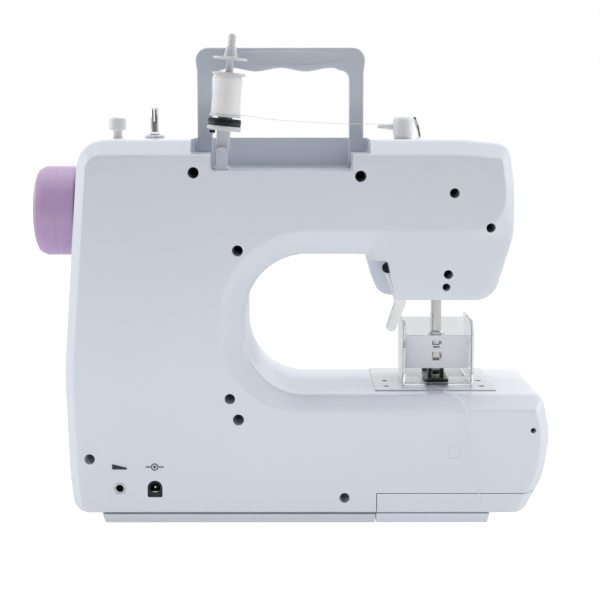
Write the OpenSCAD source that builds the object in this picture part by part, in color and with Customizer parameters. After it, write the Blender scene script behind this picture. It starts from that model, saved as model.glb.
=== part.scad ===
// Small electric sewing machine, seen with its rear towards +Y and its handwheel towards +X.
// The origin is at the middle of the feet, on the table. Millimetres, +Z up.

/* [Casing] */
// Rear face of the casing
rear_y = 50; // [48:0.5:52]
// Front face of the casing, on the operator's side
front_y = -48; // [-50:0.5:-46]
// Height of the casing's underside
floor_z = 6; // [5.5:0.5:6.5]
// Height of the bed's top, where the cloth lies
bed_z = 72.8; // [72:0.2:73.6]
// Height of the arm's underside
arm_z = 150.5; // [149.5:0.5:151.5]
// Height of the head's underside
head_z = 125; // [124:0.5:126]
// Height of the casing's top
top_z = 212.5; // [212:0.5:213]
// Thickness of the casing's walls
wall = 2.4; // [2.2:0.1:2.6]
// Gap between parts that slide past each other
gap = 0.4; // [0.3:0.1:0.5]

/* [Edges] */
// Depth of the slanted band round the rear and front faces
bevel_depth = 9; // [7:0.5:11]
// Width of the band along the top
top_bevel = 8.5; // [7:0.5:10]
// Width of the band along the pillar's and the bed's ends
end_bevel = 6; // [5:0.5:7]
// Width of the band round the throat
throat_bevel = 13; // [11:0.5:14]
// Width of the band along the bed's top
bed_bevel = 7; // [6:0.5:8]

/* [Stitching] */
// Position of the needle along the machine
needle_x = -73.8; // [-75:0.2:-73]
// Depth of the needle, the main shaft and the lower shaft
shaft_y = -6; // [-7:0.5:-6]
// Height of the main shaft
shaft_z = 171; // [170.5:0.5:171.5]
// Radius of the main shaft
shaft_r = 4; // [3.5:0.25:4]
// Height of the lower shaft
lower_z = 32; // [31.5:0.5:32.5]
// Throw of the crank, half the needle's stroke
crank_throw = 13; // [12:0.5:13]
// Distance between the needle bar and the presser bar
bar_spacing = 10; // [10:0.25:10.5]
// Running clearance of a shaft in its bore
running = 0.05; // [0.03:0.01:0.08]

/* [Controls] */
// Radius of the handwheel
handwheel_r = 25.5; // [24:0.5:26]
// Outer face of the handwheel
handwheel_end = 154; // [152:0.5:156]
// Height of the carry handle's top
handle_top = 262.4; // [258:0.2:264]
// Height of the spool pin from its pivot to its tip
spool_pin_length = 64.6; // [60:0.2:66]
// Lean of the spool pin
spool_lean = 5.6; // [4:0.2:7]
// Radius of the stitch dial
stitch_dial_r = 21; // [18:0.5:22]

/* [Hidden] */

$fn = 48;
tiny = 0.02;                       // keeps two faces from lying in one plane
presser_y = shaft_y + bar_spacing;
seam_x = -37.6;                    // the drawer's end, and its top
seam_z = 19.6;
handle_y = [0.8, 9.2];             // front and rear of the carry handle
arm_x = [[53.1, 61.5], [-31.2, -23.2]];
slot_x = [-33.5, 63];              // wide upper step of the handle's recess
slot_z = 204.8;
recess_x = [-24.1, 52.5];          // deep middle of the handle's recess
recess_z = 195.6;
recess_front = -3;
spool_x = 47.2;
spool_y = 24;
spool_z = 205;
spool_pin_r = 2.1;
winder_x = 85.8;
winder_y = 5;
hook_y = shaft_y - 15;
lifter = [-44, 141.8];             // the presser lifter's pivot
dial_at = [84, 98];
tension_at = [-90, 178];
dc_at = [83.9, 22];
pedal_at = [103.2, 22.3];
lamp_at = [-85, 20];

// Screw wells in the rear face: x, z, radius and the depth of the well's floor
deep = 3;
shallow = 16;
wells = [
    [61.3, 195.1, 3.0, shallow], [-28.1, 193.2, 3.0, shallow], [-78.4, 184.2, 2.6, shallow],
    [-98.2, 165.5, 2.6, deep], [-76.2, 139.7, 2.5, shallow], [-75.4, 132.6, 2.1, shallow],
    [37.9, 153.3, 2.9, deep], [42.5, 72.2, 2.8, deep], [37.9, 60.6, 3.0, deep],
    [119.5, 38.6, 2.8, deep], [-20.2, 16.8, 2.7, deep], [-123.2, 54.6, 2.7, deep]
];

switch_x = [10, -20];              // middle of each switch's slot, in the arm's front
switch_z = 180;
tray_x = [-101.2, 114];            // foot of the casing
tray_y = [-42, 44];
tray_z = 0.8;
plate_x = [-105.4, seam_x + 0.1];
plate_y = [-39, 30];
cover_x = [-92, -56];
cover_y = [-38.7, -11];
feed_x = [[-80, -77], [-70.6, -67.6]];
feed_y = [-3, 11];
guard_x = [needle_x - 20, needle_x + 20];
guard_y = [-24, 20];
guard_z = [bed_z + 1.4, 110];
foot_z = bed_z + 1.6;
ankle_z = foot_z + 5.6;
ears = [[-50, -45], [66, 71], [105, 110]];
lower_ears = [[-52, -47], [82, 87]];
gear_x = [92, 102];
crank_x = [-60, -55];
rod_length = 19.5;
stud_z = shaft_z - crank_throw - rod_length;
bar_foot = 84;                     // foot of the needle bar at its lowest point
motor_at = [24, 105];              // the motor's depth and height
lever_x = [-66.6, -65];
lever_y = -26;
lever_z = 184;

// Route of the loose thread, from the needle plate over the bed's edge to the floor
tail_route = [
    [-70, 14, 73.7], [-72, 22, 73.7], [-75, 30, 73.75], [-77, 36, 73.5], [-79.5, 41, 73.25],
    [-81.5, 44.4, 72.75], [-83.2, 46.3, 71.7], [-84.2, 48.1, 70.5], [-85.2, 49.4, 68.2],
    [-86, 50.45, 65.5], [-87, 50.5, 58], [-87.8, 50.5, 50], [-89, 50.5, 42], [-91, 50.5, 34],
    [-93, 50.5, 26], [-94.3, 50.5, 18], [-94.8, 50.5, 10]
];

// Corners of the casing seen from the front, anticlockwise: x, z, radius, arc steps
// and the width of the band along the side that follows the corner
corners = [
    [124, top_z, 16, 6, top_bevel],
    [-84, top_z, 60, 4, top_bevel],
    [-108.6, top_z - 2.6, 9, 6, end_bevel],
    [-111.8, 188, 25, 3, end_bevel],
    [-112, 161, 30, 3, end_bevel],
    [-101.4, head_z, 13, 6, 8],
    [-39.4, head_z, 9, 5, 9],
    [-32.2, arm_z, 4, 4, throat_bevel],
    [34.5, arm_z, 34, 14, throat_bevel],
    [34, bed_z, 33, 14, bed_bevel],
    [-129.5, bed_z, 6, 4, end_bevel],
    [-134.2, 50, 40, 3, end_bevel],
    [-130.5, 27, 30, 2, end_bevel],
    [-119.5, floor_z, 9, 4, 3],
    [129.4, floor_z, 9, 5, end_bevel],
    [131.9, 28, 60, 2, end_bevel],
    [133.7, 85, 150, 3, end_bevel]
];

function unit(v) = v / norm(v);
function inward(v) = [-v.y, v.x];
function turned(v, a) = [v.x * cos(a) - v.y * sin(a), v.x * sin(a) + v.y * cos(a)];
function at(list, i) = list[(i + len(list)) % len(list)];

// Where corner i goes when each side moves inwards by its own distance
function moved_corner(c, dist, i) =
    let (b = [c[i][0], c[i][1]],
         u = unit(b - [at(c, i - 1)[0], at(c, i - 1)[1]]),
         v = unit([at(c, i + 1)[0], at(c, i + 1)[1]] - b),
         p = b + inward(u) * at(dist, i - 1),
         q = b + inward(v) * dist[i])
    p + u * cross(q - p, v) / cross(u, v);

// Arc that rounds corner b between its neighbours a and e
function arc(a, b, e, r, steps) =
    let (u = unit(b - a), v = unit(e - b), turn = atan2(cross(u, v), u * v),
         s = sign(turn), centre = b - u * r * tan(abs(turn) / 2) + inward(u) * s * r)
    [for (k = [0:steps]) centre - turned(inward(u) * s * r, turn * k / steps)];

// Outline whose sides lie inwards by a band widths plus b millimetres
function ring(c, a, b) =
    let (dist = [for (k = c) a * k[4] + b],
         moved = [for (i = [0:len(c) - 1]) moved_corner(c, dist, i)],
         turns = [for (i = [0:len(c) - 1])
             sign(cross(moved[i] - at(moved, i - 1), at(moved, i + 1) - moved[i]))])
    [for (i = [0:len(c) - 1])
        each arc(at(moved, i - 1), moved[i], at(moved, i + 1),
                 max(1.5, c[i][2] - turns[i] * (dist[i] + at(dist, i - 1)) / 2), c[i][3])];

// Outline of a plain shape whose corners are x, z, radius and arc steps
function rounded(c) = ring([for (k = c) [k[0], k[1], k[2], k[3], 0]], 0, 0);

// A box of size given by its two ends along each axis
module block(x, y, z) translate([x[0], y[0], z[0]]) cube([x[1] - x[0], y[1] - y[0], z[1] - z[0]]);
// Stands a flat shape drawn in X and Z upright between two depths
module upright(y0, y1) translate([0, y1, 0]) rotate([90, 0, 0]) linear_extrude(y1 - y0) children();
// Stands a flat shape drawn in Y and Z upright between two positions along X
module crosswise(x0, x1) translate([x0, 0, 0]) rotate([90, 0, 90]) linear_extrude(x1 - x0) children();
module rod_x(x0, x1, y, z, r) translate([x0, y, z]) rotate([0, 90, 0]) cylinder(h = x1 - x0, r = r);
module rod_y(y0, y1, x, z, r) translate([x, y0, z]) rotate([-90, 0, 0]) cylinder(h = y1 - y0, r = r);
module rod_z(z0, z1, x, y, r) translate([x, y, z0]) cylinder(h = z1 - z0, r = r);

// Closed band of wall, slanted edge and lip, swept round the casing's outline
module band(depth) {
    d = bevel_depth;
    profile = [
        [0, 0, 0], [0, 0, depth - d], [0.08, 0, depth - d * 0.62], [0.38, 0, depth - d * 0.24],
        [1, 0, depth], [1, 4, depth], [1, 4, depth - wall],
        [1, 1, depth - wall - 0.3], [0.4, wall, depth - d * 0.3 - wall], [0, wall, depth - d], [0, wall, 0]
    ];
    rings = [for (p = profile) [for (q = ring(corners, p[0], p[1])) [q.x, p[2], q.y]]];
    n = len(rings[0]);
    m = len(rings);
    polyhedron(
        points = [for (r = rings) each r],
        faces = [for (j = [0:m - 1]) for (i = [0:n - 1])
            let (k = (i + 1) % n, up = (j + 1) % m, a = j * n + i, e = up * n + k)
            each [[a, j * n + k, e], [a, e, up * n + i]]]
    );
}

// One half of the casing, from the parting plane to a flat face at the given depth
module shell(depth) {
    band(depth);
    upright(depth - wall, depth) polygon(ring(corners, 1, 2.6));
}

// ---- Casing ----

// Space of the handle's recess: a deep middle between two shallower ends
module handle_recess(front) {
    block(slot_x, [front, rear_y + 5], [slot_z, top_z + 5]);
    block(recess_x, [front, rear_y + 5], [recess_z, top_z + 5]);
}

// Walls that line the recess, with the casing's own slope along the rear top edge
module recess_lining(front, back) {
    edge = back > 0 ? [[back - tiny, slot_z], [back - bevel_depth * 0.3, top_z - top_bevel * 0.5]]
                    : [[back, slot_z]];
    profile = [[front, slot_z - 2.2], each [[back - tiny, slot_z - 2.2], each edge],
               [back > 0 ? back - bevel_depth : back, top_z - 0.2], [front, top_z - 0.2]];
    crosswise(slot_x[0] - 2.2, slot_x[1] + 2.2) polygon(profile);
    block([recess_x[0] - 2.2, recess_x[1] + 2.2], [front, back - 2 * tiny], [recess_z - 2.2, slot_z]);
}

// Openings in the recess's floor where the handle's arms go down
module arm_openings()
    for (x = arm_x)
        block([x[0] - gap - 0.3, x[1] + gap], [-0.01, handle_y[1] + gap], [recess_z - 10, slot_z + 1]);

// The lifter's notch in the head's lower corner
module lifter_notch(grow)
    polygon([[-28, 147.4 + grow], [-43.3 - grow, 147.4 + grow], [-49.4 - grow, 119], [-28, 119]]);

// Everything below the drawer's seam, at the bed's end
module drawer_space(side) block([-150, seam_x + side], [-60, 60], [-5, seam_z + side]);

module rear_casing() color("whitesmoke") difference() {
    union() {
        shell(rear_y);
        recess_lining(0, rear_y);
        for (w = wells) rod_y(w[3], rear_y - 0.5, w[0], w[1], w[2] + 1.6);
        // lining of the lifter's notch
        intersection() {
            upright(13.8, rear_y - 1) lifter_notch(2);
            upright(13, rear_y) polygon(ring(corners, 0.7, 0.4));
        }
        // wall over the drawer and at its side
        block([-129, seam_x + 2.2], [0, rear_y - 1.2], [seam_z, seam_z + 2]);
        block([seam_x, seam_x + 2.2], [0, rear_y - 1.2], [floor_z + 0.5, seam_z + 1]);
    }
    handle_recess(-1);
    arm_openings();
    upright(16, rear_y + 5) lifter_notch(0);
    // slot that the lifter swings in
    upright(19.8, 28.2) polygon([[-28, 147.4], [-49.4, 147.4], [-57.6, 119], [-28, 119]]);
    rod_z(head_z - 2, head_z + 4, lamp_at[0], lamp_at[1], 2.65);
    for (w = wells) {
        rod_y(w[3] + 3, rear_y + 1, w[0], w[1], w[2]);
        rod_y(w[3] - 1, rear_y, w[0], w[1], 1.5);
    }
    drawer_space(0);
    bar_opening();
    plate_opening();
    block([dc_at[0] - 4.1, dc_at[0] + 4.1], [rear_y - 5, rear_y + 1], [dc_at[1] - 4.7, dc_at[1] + 0.6]);
    rod_y(rear_y - 5, rear_y + 1, dc_at[0], dc_at[1] + 0.6, 4.1);
    rod_y(rear_y - 5, rear_y + 1, pedal_at[0], pedal_at[1], 3);
    rod_z(top_z - 6, top_z + 1, winder_x, winder_y, 3.4);
    // shallow round mark on the bed's rear
    difference() {
        rod_y(rear_y - 0.3, rear_y + 1, -80, 42.4, 3.4);
        rod_y(rear_y - 1, rear_y + 2, -80, 42.4, 3.1);
    }
}

module front_casing() color("whitesmoke") difference() {
    union() {
        mirror([0, 1, 0]) shell(-front_y);
        recess_lining(recess_front - 2.2, 0);
        for (w = wells) if (w[3] == deep) rod_y(front_y + 0.5, -gap, w[0], w[1], 3.8);
        block([-129, seam_x + 2.2], [front_y + 1.2, 0], [seam_z, seam_z + 2]);
        block([seam_x, seam_x + 2.2], [front_y + 1.2, 0], [floor_z + 0.5, seam_z + 1]);
        rod_y(front_y + 1, front_y + 9, dial_at[0], dial_at[1], 6);
        rod_y(front_y + 1, front_y + 9, tension_at[0], tension_at[1], 5);
    }
    handle_recess(recess_front);
    for (w = wells) if (w[3] == deep) rod_y(-12, 1, w[0], w[1], 1.5);
    drawer_space(0);
    bar_opening();
    plate_opening();
    // hole for the handwheel's shaft
    rod_x(118, 140, shaft_y, shaft_z, shaft_r + 1);
    rod_y(front_y - 1, front_y + 12, dial_at[0], dial_at[1], 4 + running);
    rod_y(front_y - 1, front_y + 12, tension_at[0], tension_at[1], 3 + running);
    // slots for the take-up lever, the reverse lever and the two switches
    block([-68.6, -62.9], [front_y - 5, -27], [182, top_z + 5]);
    block([79, 89], [front_y - 5, front_y + 6], [42, 58]);
    for (x = switch_x) block([x - 6, x + 6], [front_y - 5, front_y + 5], [switch_z - 2.4, switch_z + 2.4]);
    // groove that the bobbin cover slides out along
    block([cover_x[0] - 0.3, cover_x[1] + 0.3], [front_y - 5, plate_y[0] + 1], [bed_z - 1.3, bed_z + 3]);
}

// Opening in the head's underside for the two bars
module bar_opening() block([-82, -64], [shaft_y - 8, presser_y + 9], [head_z - 3, head_z + 3.6]);
// Opening in the bed's top that the needle plate fills
module plate_opening() block([plate_x[0], plate_x[1]], [plate_y[0], plate_y[1]], [bed_z - 4, bed_z + 3]);

// Foot that the casing stands on, up to the drawer's end
module base_tray() color("gainsboro") difference() {
    block([seam_x + 0.2, tray_x[1]], tray_y, [tray_z, floor_z - tiny]);
    block([seam_x + 2.7, tray_x[1] - 2.5], [tray_y[0] + 2.5, tray_y[1] - 2.5], [0, floor_z - 2.4]);
}

// Four pads near the corners of the foot and one in the middle, at the origin
module rubber_feet() color("dimgray")
    for (p = [[-24, -28], [-24, 30], [98, -28], [98, 30], [0, 0]])
        rod_z(0, floor_z - 2.4, p.x, p.y, 8);

// Cross-headed screws at the bottom of the rear wells
module casing_screws() color("dimgray")
    for (w = wells) difference() {
        union() {
            rod_y(w[3] + 3, w[3] + 4.8, w[0], w[1], w[2] - 0.3);
            rod_y(w[3] == deep ? -9 : w[3] - 3, w[3] + 3.2, w[0], w[1], 1.5);
        }
        for (s = [[1.2, 0.3], [0.3, 1.2]])
            block([w[0] - s[0], w[0] + s[0]], [w[3] + 4, w[3] + 6], [w[1] - s[1], w[1] + s[1]]);
    }

// Tray for accessories that pulls out from the bed's end and carries the end of the casing's foot
module accessory_drawer() color("whitesmoke") {
    intersection() {
        union() {
            shell(rear_y);
            mirror([0, 1, 0]) shell(-front_y);
        }
        drawer_space(-gap);
    }
    difference() {
        block([-112, seam_x - gap], [front_y + 2, rear_y - 2], [floor_z + 2.2, seam_z - gap - 0.3]);
        block([-200, seam_x - gap - 2], [front_y + 3.2, rear_y - 3.2], [floor_z + 2, seam_z + 1]);
    }
    difference() {
        block([tray_x[0], seam_x - gap], tray_y, [tray_z, floor_z + 0.3]);
        block([tray_x[0] + 2.5, seam_x - 2.8], [tray_y[0] + 2.5, tray_y[1] - 2.5], [0, floor_z - 1]);
    }
}

// ---- Frames ----

// Cast frame of the arm and the head: guides for the two bars and ears for the shaft's bushes
module machine_frame() color("silver") difference() {
    union() {
        block([ears[0][0], ears[2][1]], [shaft_y - 17, shaft_y - 13.2], [160, 186]);
        for (e = ears) block(e, [shaft_y - 14, shaft_y + 9], [162, 186]);
        block([-86, ears[0][1]], [shaft_y - 8, presser_y + 8], [190, 196]);
        block([ears[0][0], ears[0][1]], [shaft_y - 12, presser_y + 8], [184, 196]);
        block([-86, -82], [shaft_y - 8, presser_y + 8], [128.5, 191]);
        block([-83, -67.6], [shaft_y - 8, presser_y + 8], [171, 178]);
        block([-83, -67.6], [shaft_y - 8, presser_y + 8], [129, 134]);
        // arm and pivot for the take-up lever
        block([-74, -69.5], [lever_y - 5, shaft_y], [lever_z - 5, lever_z + 5]);
        block([-74, -69.5], [shaft_y - 6, shaft_y], [lever_z - 5, 191]);
        rod_x(-70, -61.5, lever_y, lever_z, 2);
    }
    for (z = [[128, 135], [170, 197]]) {
        rod_z(z[0], z[1], needle_x, shaft_y, 2.5 + running);
        rod_z(z[0], z[1], needle_x, presser_y, 3 + running);
    }
    rod_x(ears[0][0] - 1, ears[2][1] + 1, shaft_y, shaft_z, shaft_r + 2);
}

module shaft_bushes() color("goldenrod")
    for (e = ears) difference() {
        rod_x(e[0] - 0.5, e[1] + 0.5, shaft_y, shaft_z, shaft_r + 2 - tiny);
        rod_x(e[0] - 1, e[1] + 1, shaft_y, shaft_z, shaft_r + running);
    }

// Cast frame of the bed: ears for the lower shaft and an upright bearing for the hook
module bed_frame() color("silver") difference() {
    union() {
        block([-96, 88.5], [shaft_y - 9, shaft_y + 9], [seam_z + 2.2, seam_z + 5.4]);
        block([-96, -50], [hook_y - 14, shaft_y], [seam_z + 2.2, seam_z + 5.4]);
        for (e = lower_ears) block(e, [shaft_y - 7, shaft_y + 7], [seam_z + 5, lower_z + 7]);
        rod_z(seam_z + 3, seam_z + 7, needle_x, hook_y, 5);
        // legs down to the casing's floor
        for (x = [-34, 80])
            block([x, x + 8], [shaft_y - 9, shaft_y + 9], [floor_z + wall + tiny, seam_z + 3]);
    }
    for (e = lower_ears) rod_x(e[0] - 1, e[1] + 1, shaft_y, lower_z, 5);
    rod_z(seam_z, seam_z + 9, needle_x, hook_y, 2.5 + running);
}

module lower_bushes() color("goldenrod")
    for (e = lower_ears) difference() {
        rod_x(e[0] - 0.5, e[1] + 0.5, shaft_y, lower_z, 5 - tiny);
        rod_x(e[0] - 1, e[1] + 1, shaft_y, lower_z, 3.5 + running);
    }

// ---- Drive ----

// Lilac handwheel with a rounded outer edge and a shallow hollow in its end
module handwheel() color("plum") difference() {
    translate([0, shaft_y, shaft_z]) rotate([0, 90, 0]) rotate_extrude($fn = 96)
        polygon([
            [0, 130.6], [handwheel_r - 2, 130.6], [handwheel_r, 132.6],
            each [for (a = [0:9:90]) [handwheel_r - 6 + 6 * cos(a), handwheel_end - 6 + 6 * sin(a)]],
            [handwheel_r - 9, handwheel_end - 0.4], [handwheel_r - 12, handwheel_end - 2],
            [0, handwheel_end - 2]
        ]);
    // hollow behind the rim, round the hub
    difference() {
        rod_x(120, 149, shaft_y, shaft_z, handwheel_r - 3);
        rod_x(119, 150, shaft_y, shaft_z, 8);
    }
    rod_x(120, 147, shaft_y, shaft_z, shaft_r);
}

module main_shaft() color("silver") rod_x(crank_x[0], 147, shaft_y, shaft_z, shaft_r);

// Wheel for a round belt: a groove between two flanges
module grooved_wheel(x0, x1, y, z, r, bore)
    translate([x0, y, z]) rotate([0, 90, 0]) rotate_extrude($fn = 64)
        polygon([[bore, 0], [r + 1.5, 0], [r + 1.5, 1], [r, 1.2], [r, x1 - x0 - 1.2],
                 [r + 1.5, x1 - x0 - 1], [r + 1.5, x1 - x0], [bore, x1 - x0]]);

// Wheel for a toothed belt: flat bands between teeth, with two flanges
module toothed_wheel(x0, x1, y, z, r, teeth, bore) difference() {
    rod_x(x0, x1, y, z, r);
    rod_x(x0 - 1, x1 + 1, y, z, bore);
    for (i = [1:teeth]) translate([x0 - 1, y, z]) rotate([i * 360 / teeth, 0, 0])
        translate([0, r - 0.8, -0.8]) cube([x1 - x0 + 2, 2, 1.6]);
}

module belt_pulley() color("dimgray") grooved_wheel(113.5, 121.5, shaft_y, shaft_z, 19, shaft_r);
module upper_gear() color("gainsboro") toothed_wheel(gear_x[0], gear_x[1], shaft_y, shaft_z, 11, 22, shaft_r);
module lower_gear() color("gainsboro") toothed_wheel(gear_x[0], gear_x[1], shaft_y, lower_z, 11, 22, 3.5);

// A belt that runs round two wheels lying at a and b, each y, z and radius
module belt(x0, x1, a, b, thick) {
    dist = norm([b.x - a.x, b.y - a.y]);
    lean = atan2(b.y - a.y, b.x - a.x);
    wrap = acos((a[2] - b[2]) / dist);
    function round(c, add, from, to) =
        [for (k = [0:24]) [c.x, c.y] + (c[2] + add) * turned([1, 0], lean + from + (to - from) * k / 24)];
    function loop(add) = concat(round(a, add, wrap, 360 - wrap), round(b, add, -wrap, wrap));
    crosswise(x0, x1) difference() {
        polygon(loop(thick));
        polygon(loop(0));
    }
}

module drive_belt() color("dimgray")
    belt(115.2, 119.8, [shaft_y, shaft_z, 19 + gap], [motor_at[0], motor_at[1], 5 + gap], 0.9);
module timing_belt() color("dimgray")
    belt(gear_x[0] + 1, gear_x[1] - 1, [shaft_y, shaft_z, 11 + gap], [shaft_y, lower_z, 11 + gap], 1.4);

module motor() color("silver") {
    rod_x(62, 106, motor_at[0], motor_at[1], 15);
    rod_x(58, 62, motor_at[0], motor_at[1], 6);
    difference() {
        rod_x(106, 110, motor_at[0], motor_at[1], 6);
        rod_x(105.9, 111, motor_at[0], motor_at[1], 1.5 + running);
    }
    // bracket to the casing's rear wall
    block([70, 98], [motor_at[0] + 8, rear_y - wall - 2 * tiny], [motor_at[1] - 19, motor_at[1] - 12]);
}

module motor_pulley() color("dimgray") {
    grooved_wheel(113.5, 121.5, motor_at[0], motor_at[1], 5, 0);
    rod_x(106.2, 114, motor_at[0], motor_at[1], 1.5);
}

// Counterweighted disc with the pin that drives the needle bar
module crank() color("silver") {
    difference() {
        union() {
            rod_x(crank_x[0], crank_x[1], shaft_y, shaft_z, 10);
            intersection() {
                rod_x(crank_x[0], crank_x[1], shaft_y, shaft_z, 18);
                block([crank_x[0], crank_x[1]], [shaft_y - 7, shaft_y + 7], [shaft_z - 20, shaft_z + 20]);
            }
        }
        rod_x(crank_x[0] - 1, crank_x[1] + 1, shaft_y, shaft_z, shaft_r);
    }
    rod_x(-65.8, crank_x[0] + 1, shaft_y, shaft_z - crank_throw, 2.5);
}

// Rod from the crank's pin down to the needle bar's stud
module connecting_rod() color("silver") difference() {
    z1 = shaft_z - crank_throw;
    union() {
        rod_x(-65.5, -62, shaft_y, z1, 5);
        rod_x(-65.5, -62, shaft_y, z1 - rod_length, 4);
        block([-65.3, -62.2], [shaft_y - 2.5, shaft_y + 2.5], [z1 - rod_length, z1]);
    }
    rod_x(-66, -61, shaft_y, z1, 2.5 + running);
    rod_x(-66, -61, shaft_y, z1 - rod_length, 2.5 + running);
}

module lower_shaft() color("silver") {
    rod_x(-82, 108, shaft_y, lower_z, 3.5);
    // worm-like gear that turns the hook
    rod_x(needle_x - 6, needle_x + 6, shaft_y, lower_z, 5.9);
}

// ---- Needle, thread and foot ----

module needle_bar() color("silver") {
    rod_z(bar_foot, bar_foot + 94.5, needle_x, shaft_y, 2.5);
    difference() {
        block([-78.2, -69.4], [shaft_y - 5, shaft_y + 4.4], [stud_z - 3.4, stud_z + 3.4]);
        rod_z(stud_z - 4, stud_z + 4, needle_x, shaft_y, 2.5);
    }
    rod_x(-69.5, -66.1, shaft_y, stud_z, 2.3);
}

// Clamp at the bar's foot, with its thumb screw
module needle_clamp() color("silver") {
    difference() {
        rod_z(bar_foot - 1.5, bar_foot + 7, needle_x, shaft_y, 4.3);
        rod_z(bar_foot, bar_foot + 8, needle_x, shaft_y, 2.5);
        rod_z(bar_foot - 3, bar_foot + 1, needle_x, shaft_y, 0.9);
    }
    rod_x(needle_x - 12, needle_x - 4, shaft_y, bar_foot + 2.5, 1.4);
    rod_x(needle_x - 13.5, needle_x - 9, shaft_y, bar_foot + 2.5, 2.8);
}

// Needle: thick shank, thin blade and a point
module needle() color("silver") {
    rod_z(bar_foot - 6, bar_foot, needle_x, shaft_y, 0.9);
    translate([needle_x, shaft_y, bar_foot - 8]) cylinder(h = 2, r1 = 0.45, r2 = 0.9);
    rod_z(bar_foot - 26, bar_foot - 7.9, needle_x, shaft_y, 0.45);
    translate([needle_x, shaft_y, bar_foot - 30]) cylinder(h = 4.1, r1 = 0.12, r2 = 0.45);
}

// Lever that pulls the thread up, with the eye that the thread goes through
module take_up_lever() color("silver") difference() {
    union() {
        crosswise(lever_x[0], lever_x[1]) polygon(rounded([
            [lever_y + 4, lever_z - 4, 3.5, 4], [lever_y + 4, lever_z + 5, 3, 3], [-35.5, 218, 6, 3],
            [-35, 225.4, 3, 4], [-41.5, 225.4, 3, 4], [-42.5, 216, 6, 3], [lever_y - 4, lever_z + 2, 8, 3],
            [lever_y - 4, lever_z - 4, 3.5, 4]
        ]));
        rod_x(lever_x[0] - 1.8, lever_x[1] + 0.8, lever_y, lever_z, 4);
    }
    rod_x(-72, -60, lever_y, lever_z, 2 + running);
    rod_x(-72, -60, -38.4, 221, 1.5);
}

module presser_bar() color("silver") {
    rod_z(97, 188, needle_x, presser_y, 3);
    // collar that the lifter pushes up
    difference() {
        rod_z(142, 146, needle_x, presser_y, 4.8);
        rod_z(141, 147, needle_x, presser_y, 3);
    }
}

// Foot's shank: clamped to the bar, with a groove that holds the foot's pin
module foot_holder() color("silver") difference() {
    union() {
        rod_z(95, 103, needle_x, presser_y, 4.6);
        block([needle_x - 2, needle_x + 2], [presser_y - 3, presser_y + 4], [79, 96]);
        rod_x(needle_x - 2, needle_x + 2, presser_y, ankle_z, 2.6);
    }
    rod_z(97, 104, needle_x, presser_y, 3);
    rod_x(needle_x - 3, needle_x + 3, presser_y, ankle_z, 1 + running);
}

// Foot: forked sole with raised cheeks that hold its pin
module presser_foot() color("dimgray") {
    difference() {
        union() {
            block([needle_x - 6.5, needle_x + 6.5], [shaft_y - 9, presser_y + 10.5], [foot_z, foot_z + 1.9]);
            crosswise(needle_x - 6.5, needle_x + 6.5) polygon([
                [shaft_y - 9, foot_z + 1], [shaft_y - 12, foot_z + 3.5],
                [shaft_y - 11, foot_z + 4.3], [shaft_y - 7, foot_z + 1.8]
            ]);
            for (x = [needle_x - 3.4, needle_x + 3.4])
                block([x - 1, x + 1], [presser_y - 3.2, presser_y + 3.2], [foot_z + 1, ankle_z + 2.6]);
        }
        block([needle_x - 1.6, needle_x + 1.6], [shaft_y - 20, shaft_y + 3], [foot_z - 1, foot_z + 6]);
    }
    rod_x(needle_x - 2.6, needle_x + 2.6, presser_y, ankle_z, 1);
}

// Plate behind the presser bar with two windows, which carries the finger guard
module guard_bracket() color("lightgray") difference() {
    union() {
        block([needle_x - 15.5, needle_x + 15.5], [presser_y + 5, presser_y + 6.8], [82, 101]);
        block([needle_x - 3.4, needle_x + 3.4], [presser_y + 3.8, presser_y + 5.1], [96, 101]);
        block([guard_x[0] + 1.5, guard_x[1] - 1.5], [presser_y + 5.2, presser_y + 6.4], [94, 99]);
    }
    for (z = [[86.5, 91.5], [93.8, 97.8]])
        block([needle_x - 2.8, needle_x + 2.8], [presser_y + 5.15, presser_y + 8], z);
    rod_z(90, 110, needle_x, presser_y, 4.6);
}

// Clear guard: two side walls and a front wall round the needle
module finger_guard() color([0.9, 0.93, 0.95, 0.4]) {
    for (x = [[guard_x[0], guard_x[0] + 1.5], [guard_x[1] - 1.5, guard_x[1]]])
        crosswise(x[0], x[1]) polygon(rounded([
            [guard_y[0], guard_z[0], 0.6, 2], [guard_y[1], guard_z[0], 3, 4], [guard_y[1], 103, 1, 2],
            [guard_y[1] - 7, guard_z[1], 1, 2], [guard_y[0], guard_z[1], 3, 4]
        ]));
    x = [guard_x[0] + 1, guard_x[1] - 1];
    block(x, [guard_y[0], guard_y[0] + 1.5], [guard_z[0] + 10, guard_z[1] - 3]);
    block(x, [guard_y[1] - 1.5, guard_y[1]], [guard_z[0], guard_z[0] + 1.2]);
}

// Steel plate over the bed, with slots for the needle and the feed dog
module needle_plate() color("gainsboro") difference() {
    block([plate_x[0] + 0.1, plate_x[1] - 0.1], [plate_y[0] + 0.1, plate_y[1] - 0.1],
          [bed_z - 1.8, bed_z + 0.5]);
    block([needle_x - 1, needle_x + 1], [shaft_y - 3, shaft_y + 1.6], [bed_z - 3, bed_z + 3]);
    for (x = feed_x) block([x[0] - gap, x[1] + gap], [feed_y[0] - 2, feed_y[1] + 2], [bed_z - 3, bed_z + 3]);
    block([cover_x[0] - 0.3, cover_x[1] + 0.3], [plate_y[0] - 1, cover_y[1] + 0.3], [bed_z - 3, bed_z + 3]);
    for (x = [plate_x[0] + 7, plate_x[1] - 7], y = [3, 19]) rod_z(bed_z + 0.2, bed_z + 1, x, y, 1.6);
}

module bobbin_cover() color([0.85, 0.88, 0.9, 0.5]) {
    block(cover_x, cover_y, [bed_z - 1, bed_z + 0.5]);
    block([needle_x - 5, needle_x + 5], [plate_y[0] + 4, plate_y[0] + 5.5], [bed_z + 0.4, bed_z + 0.9]);
}

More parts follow.
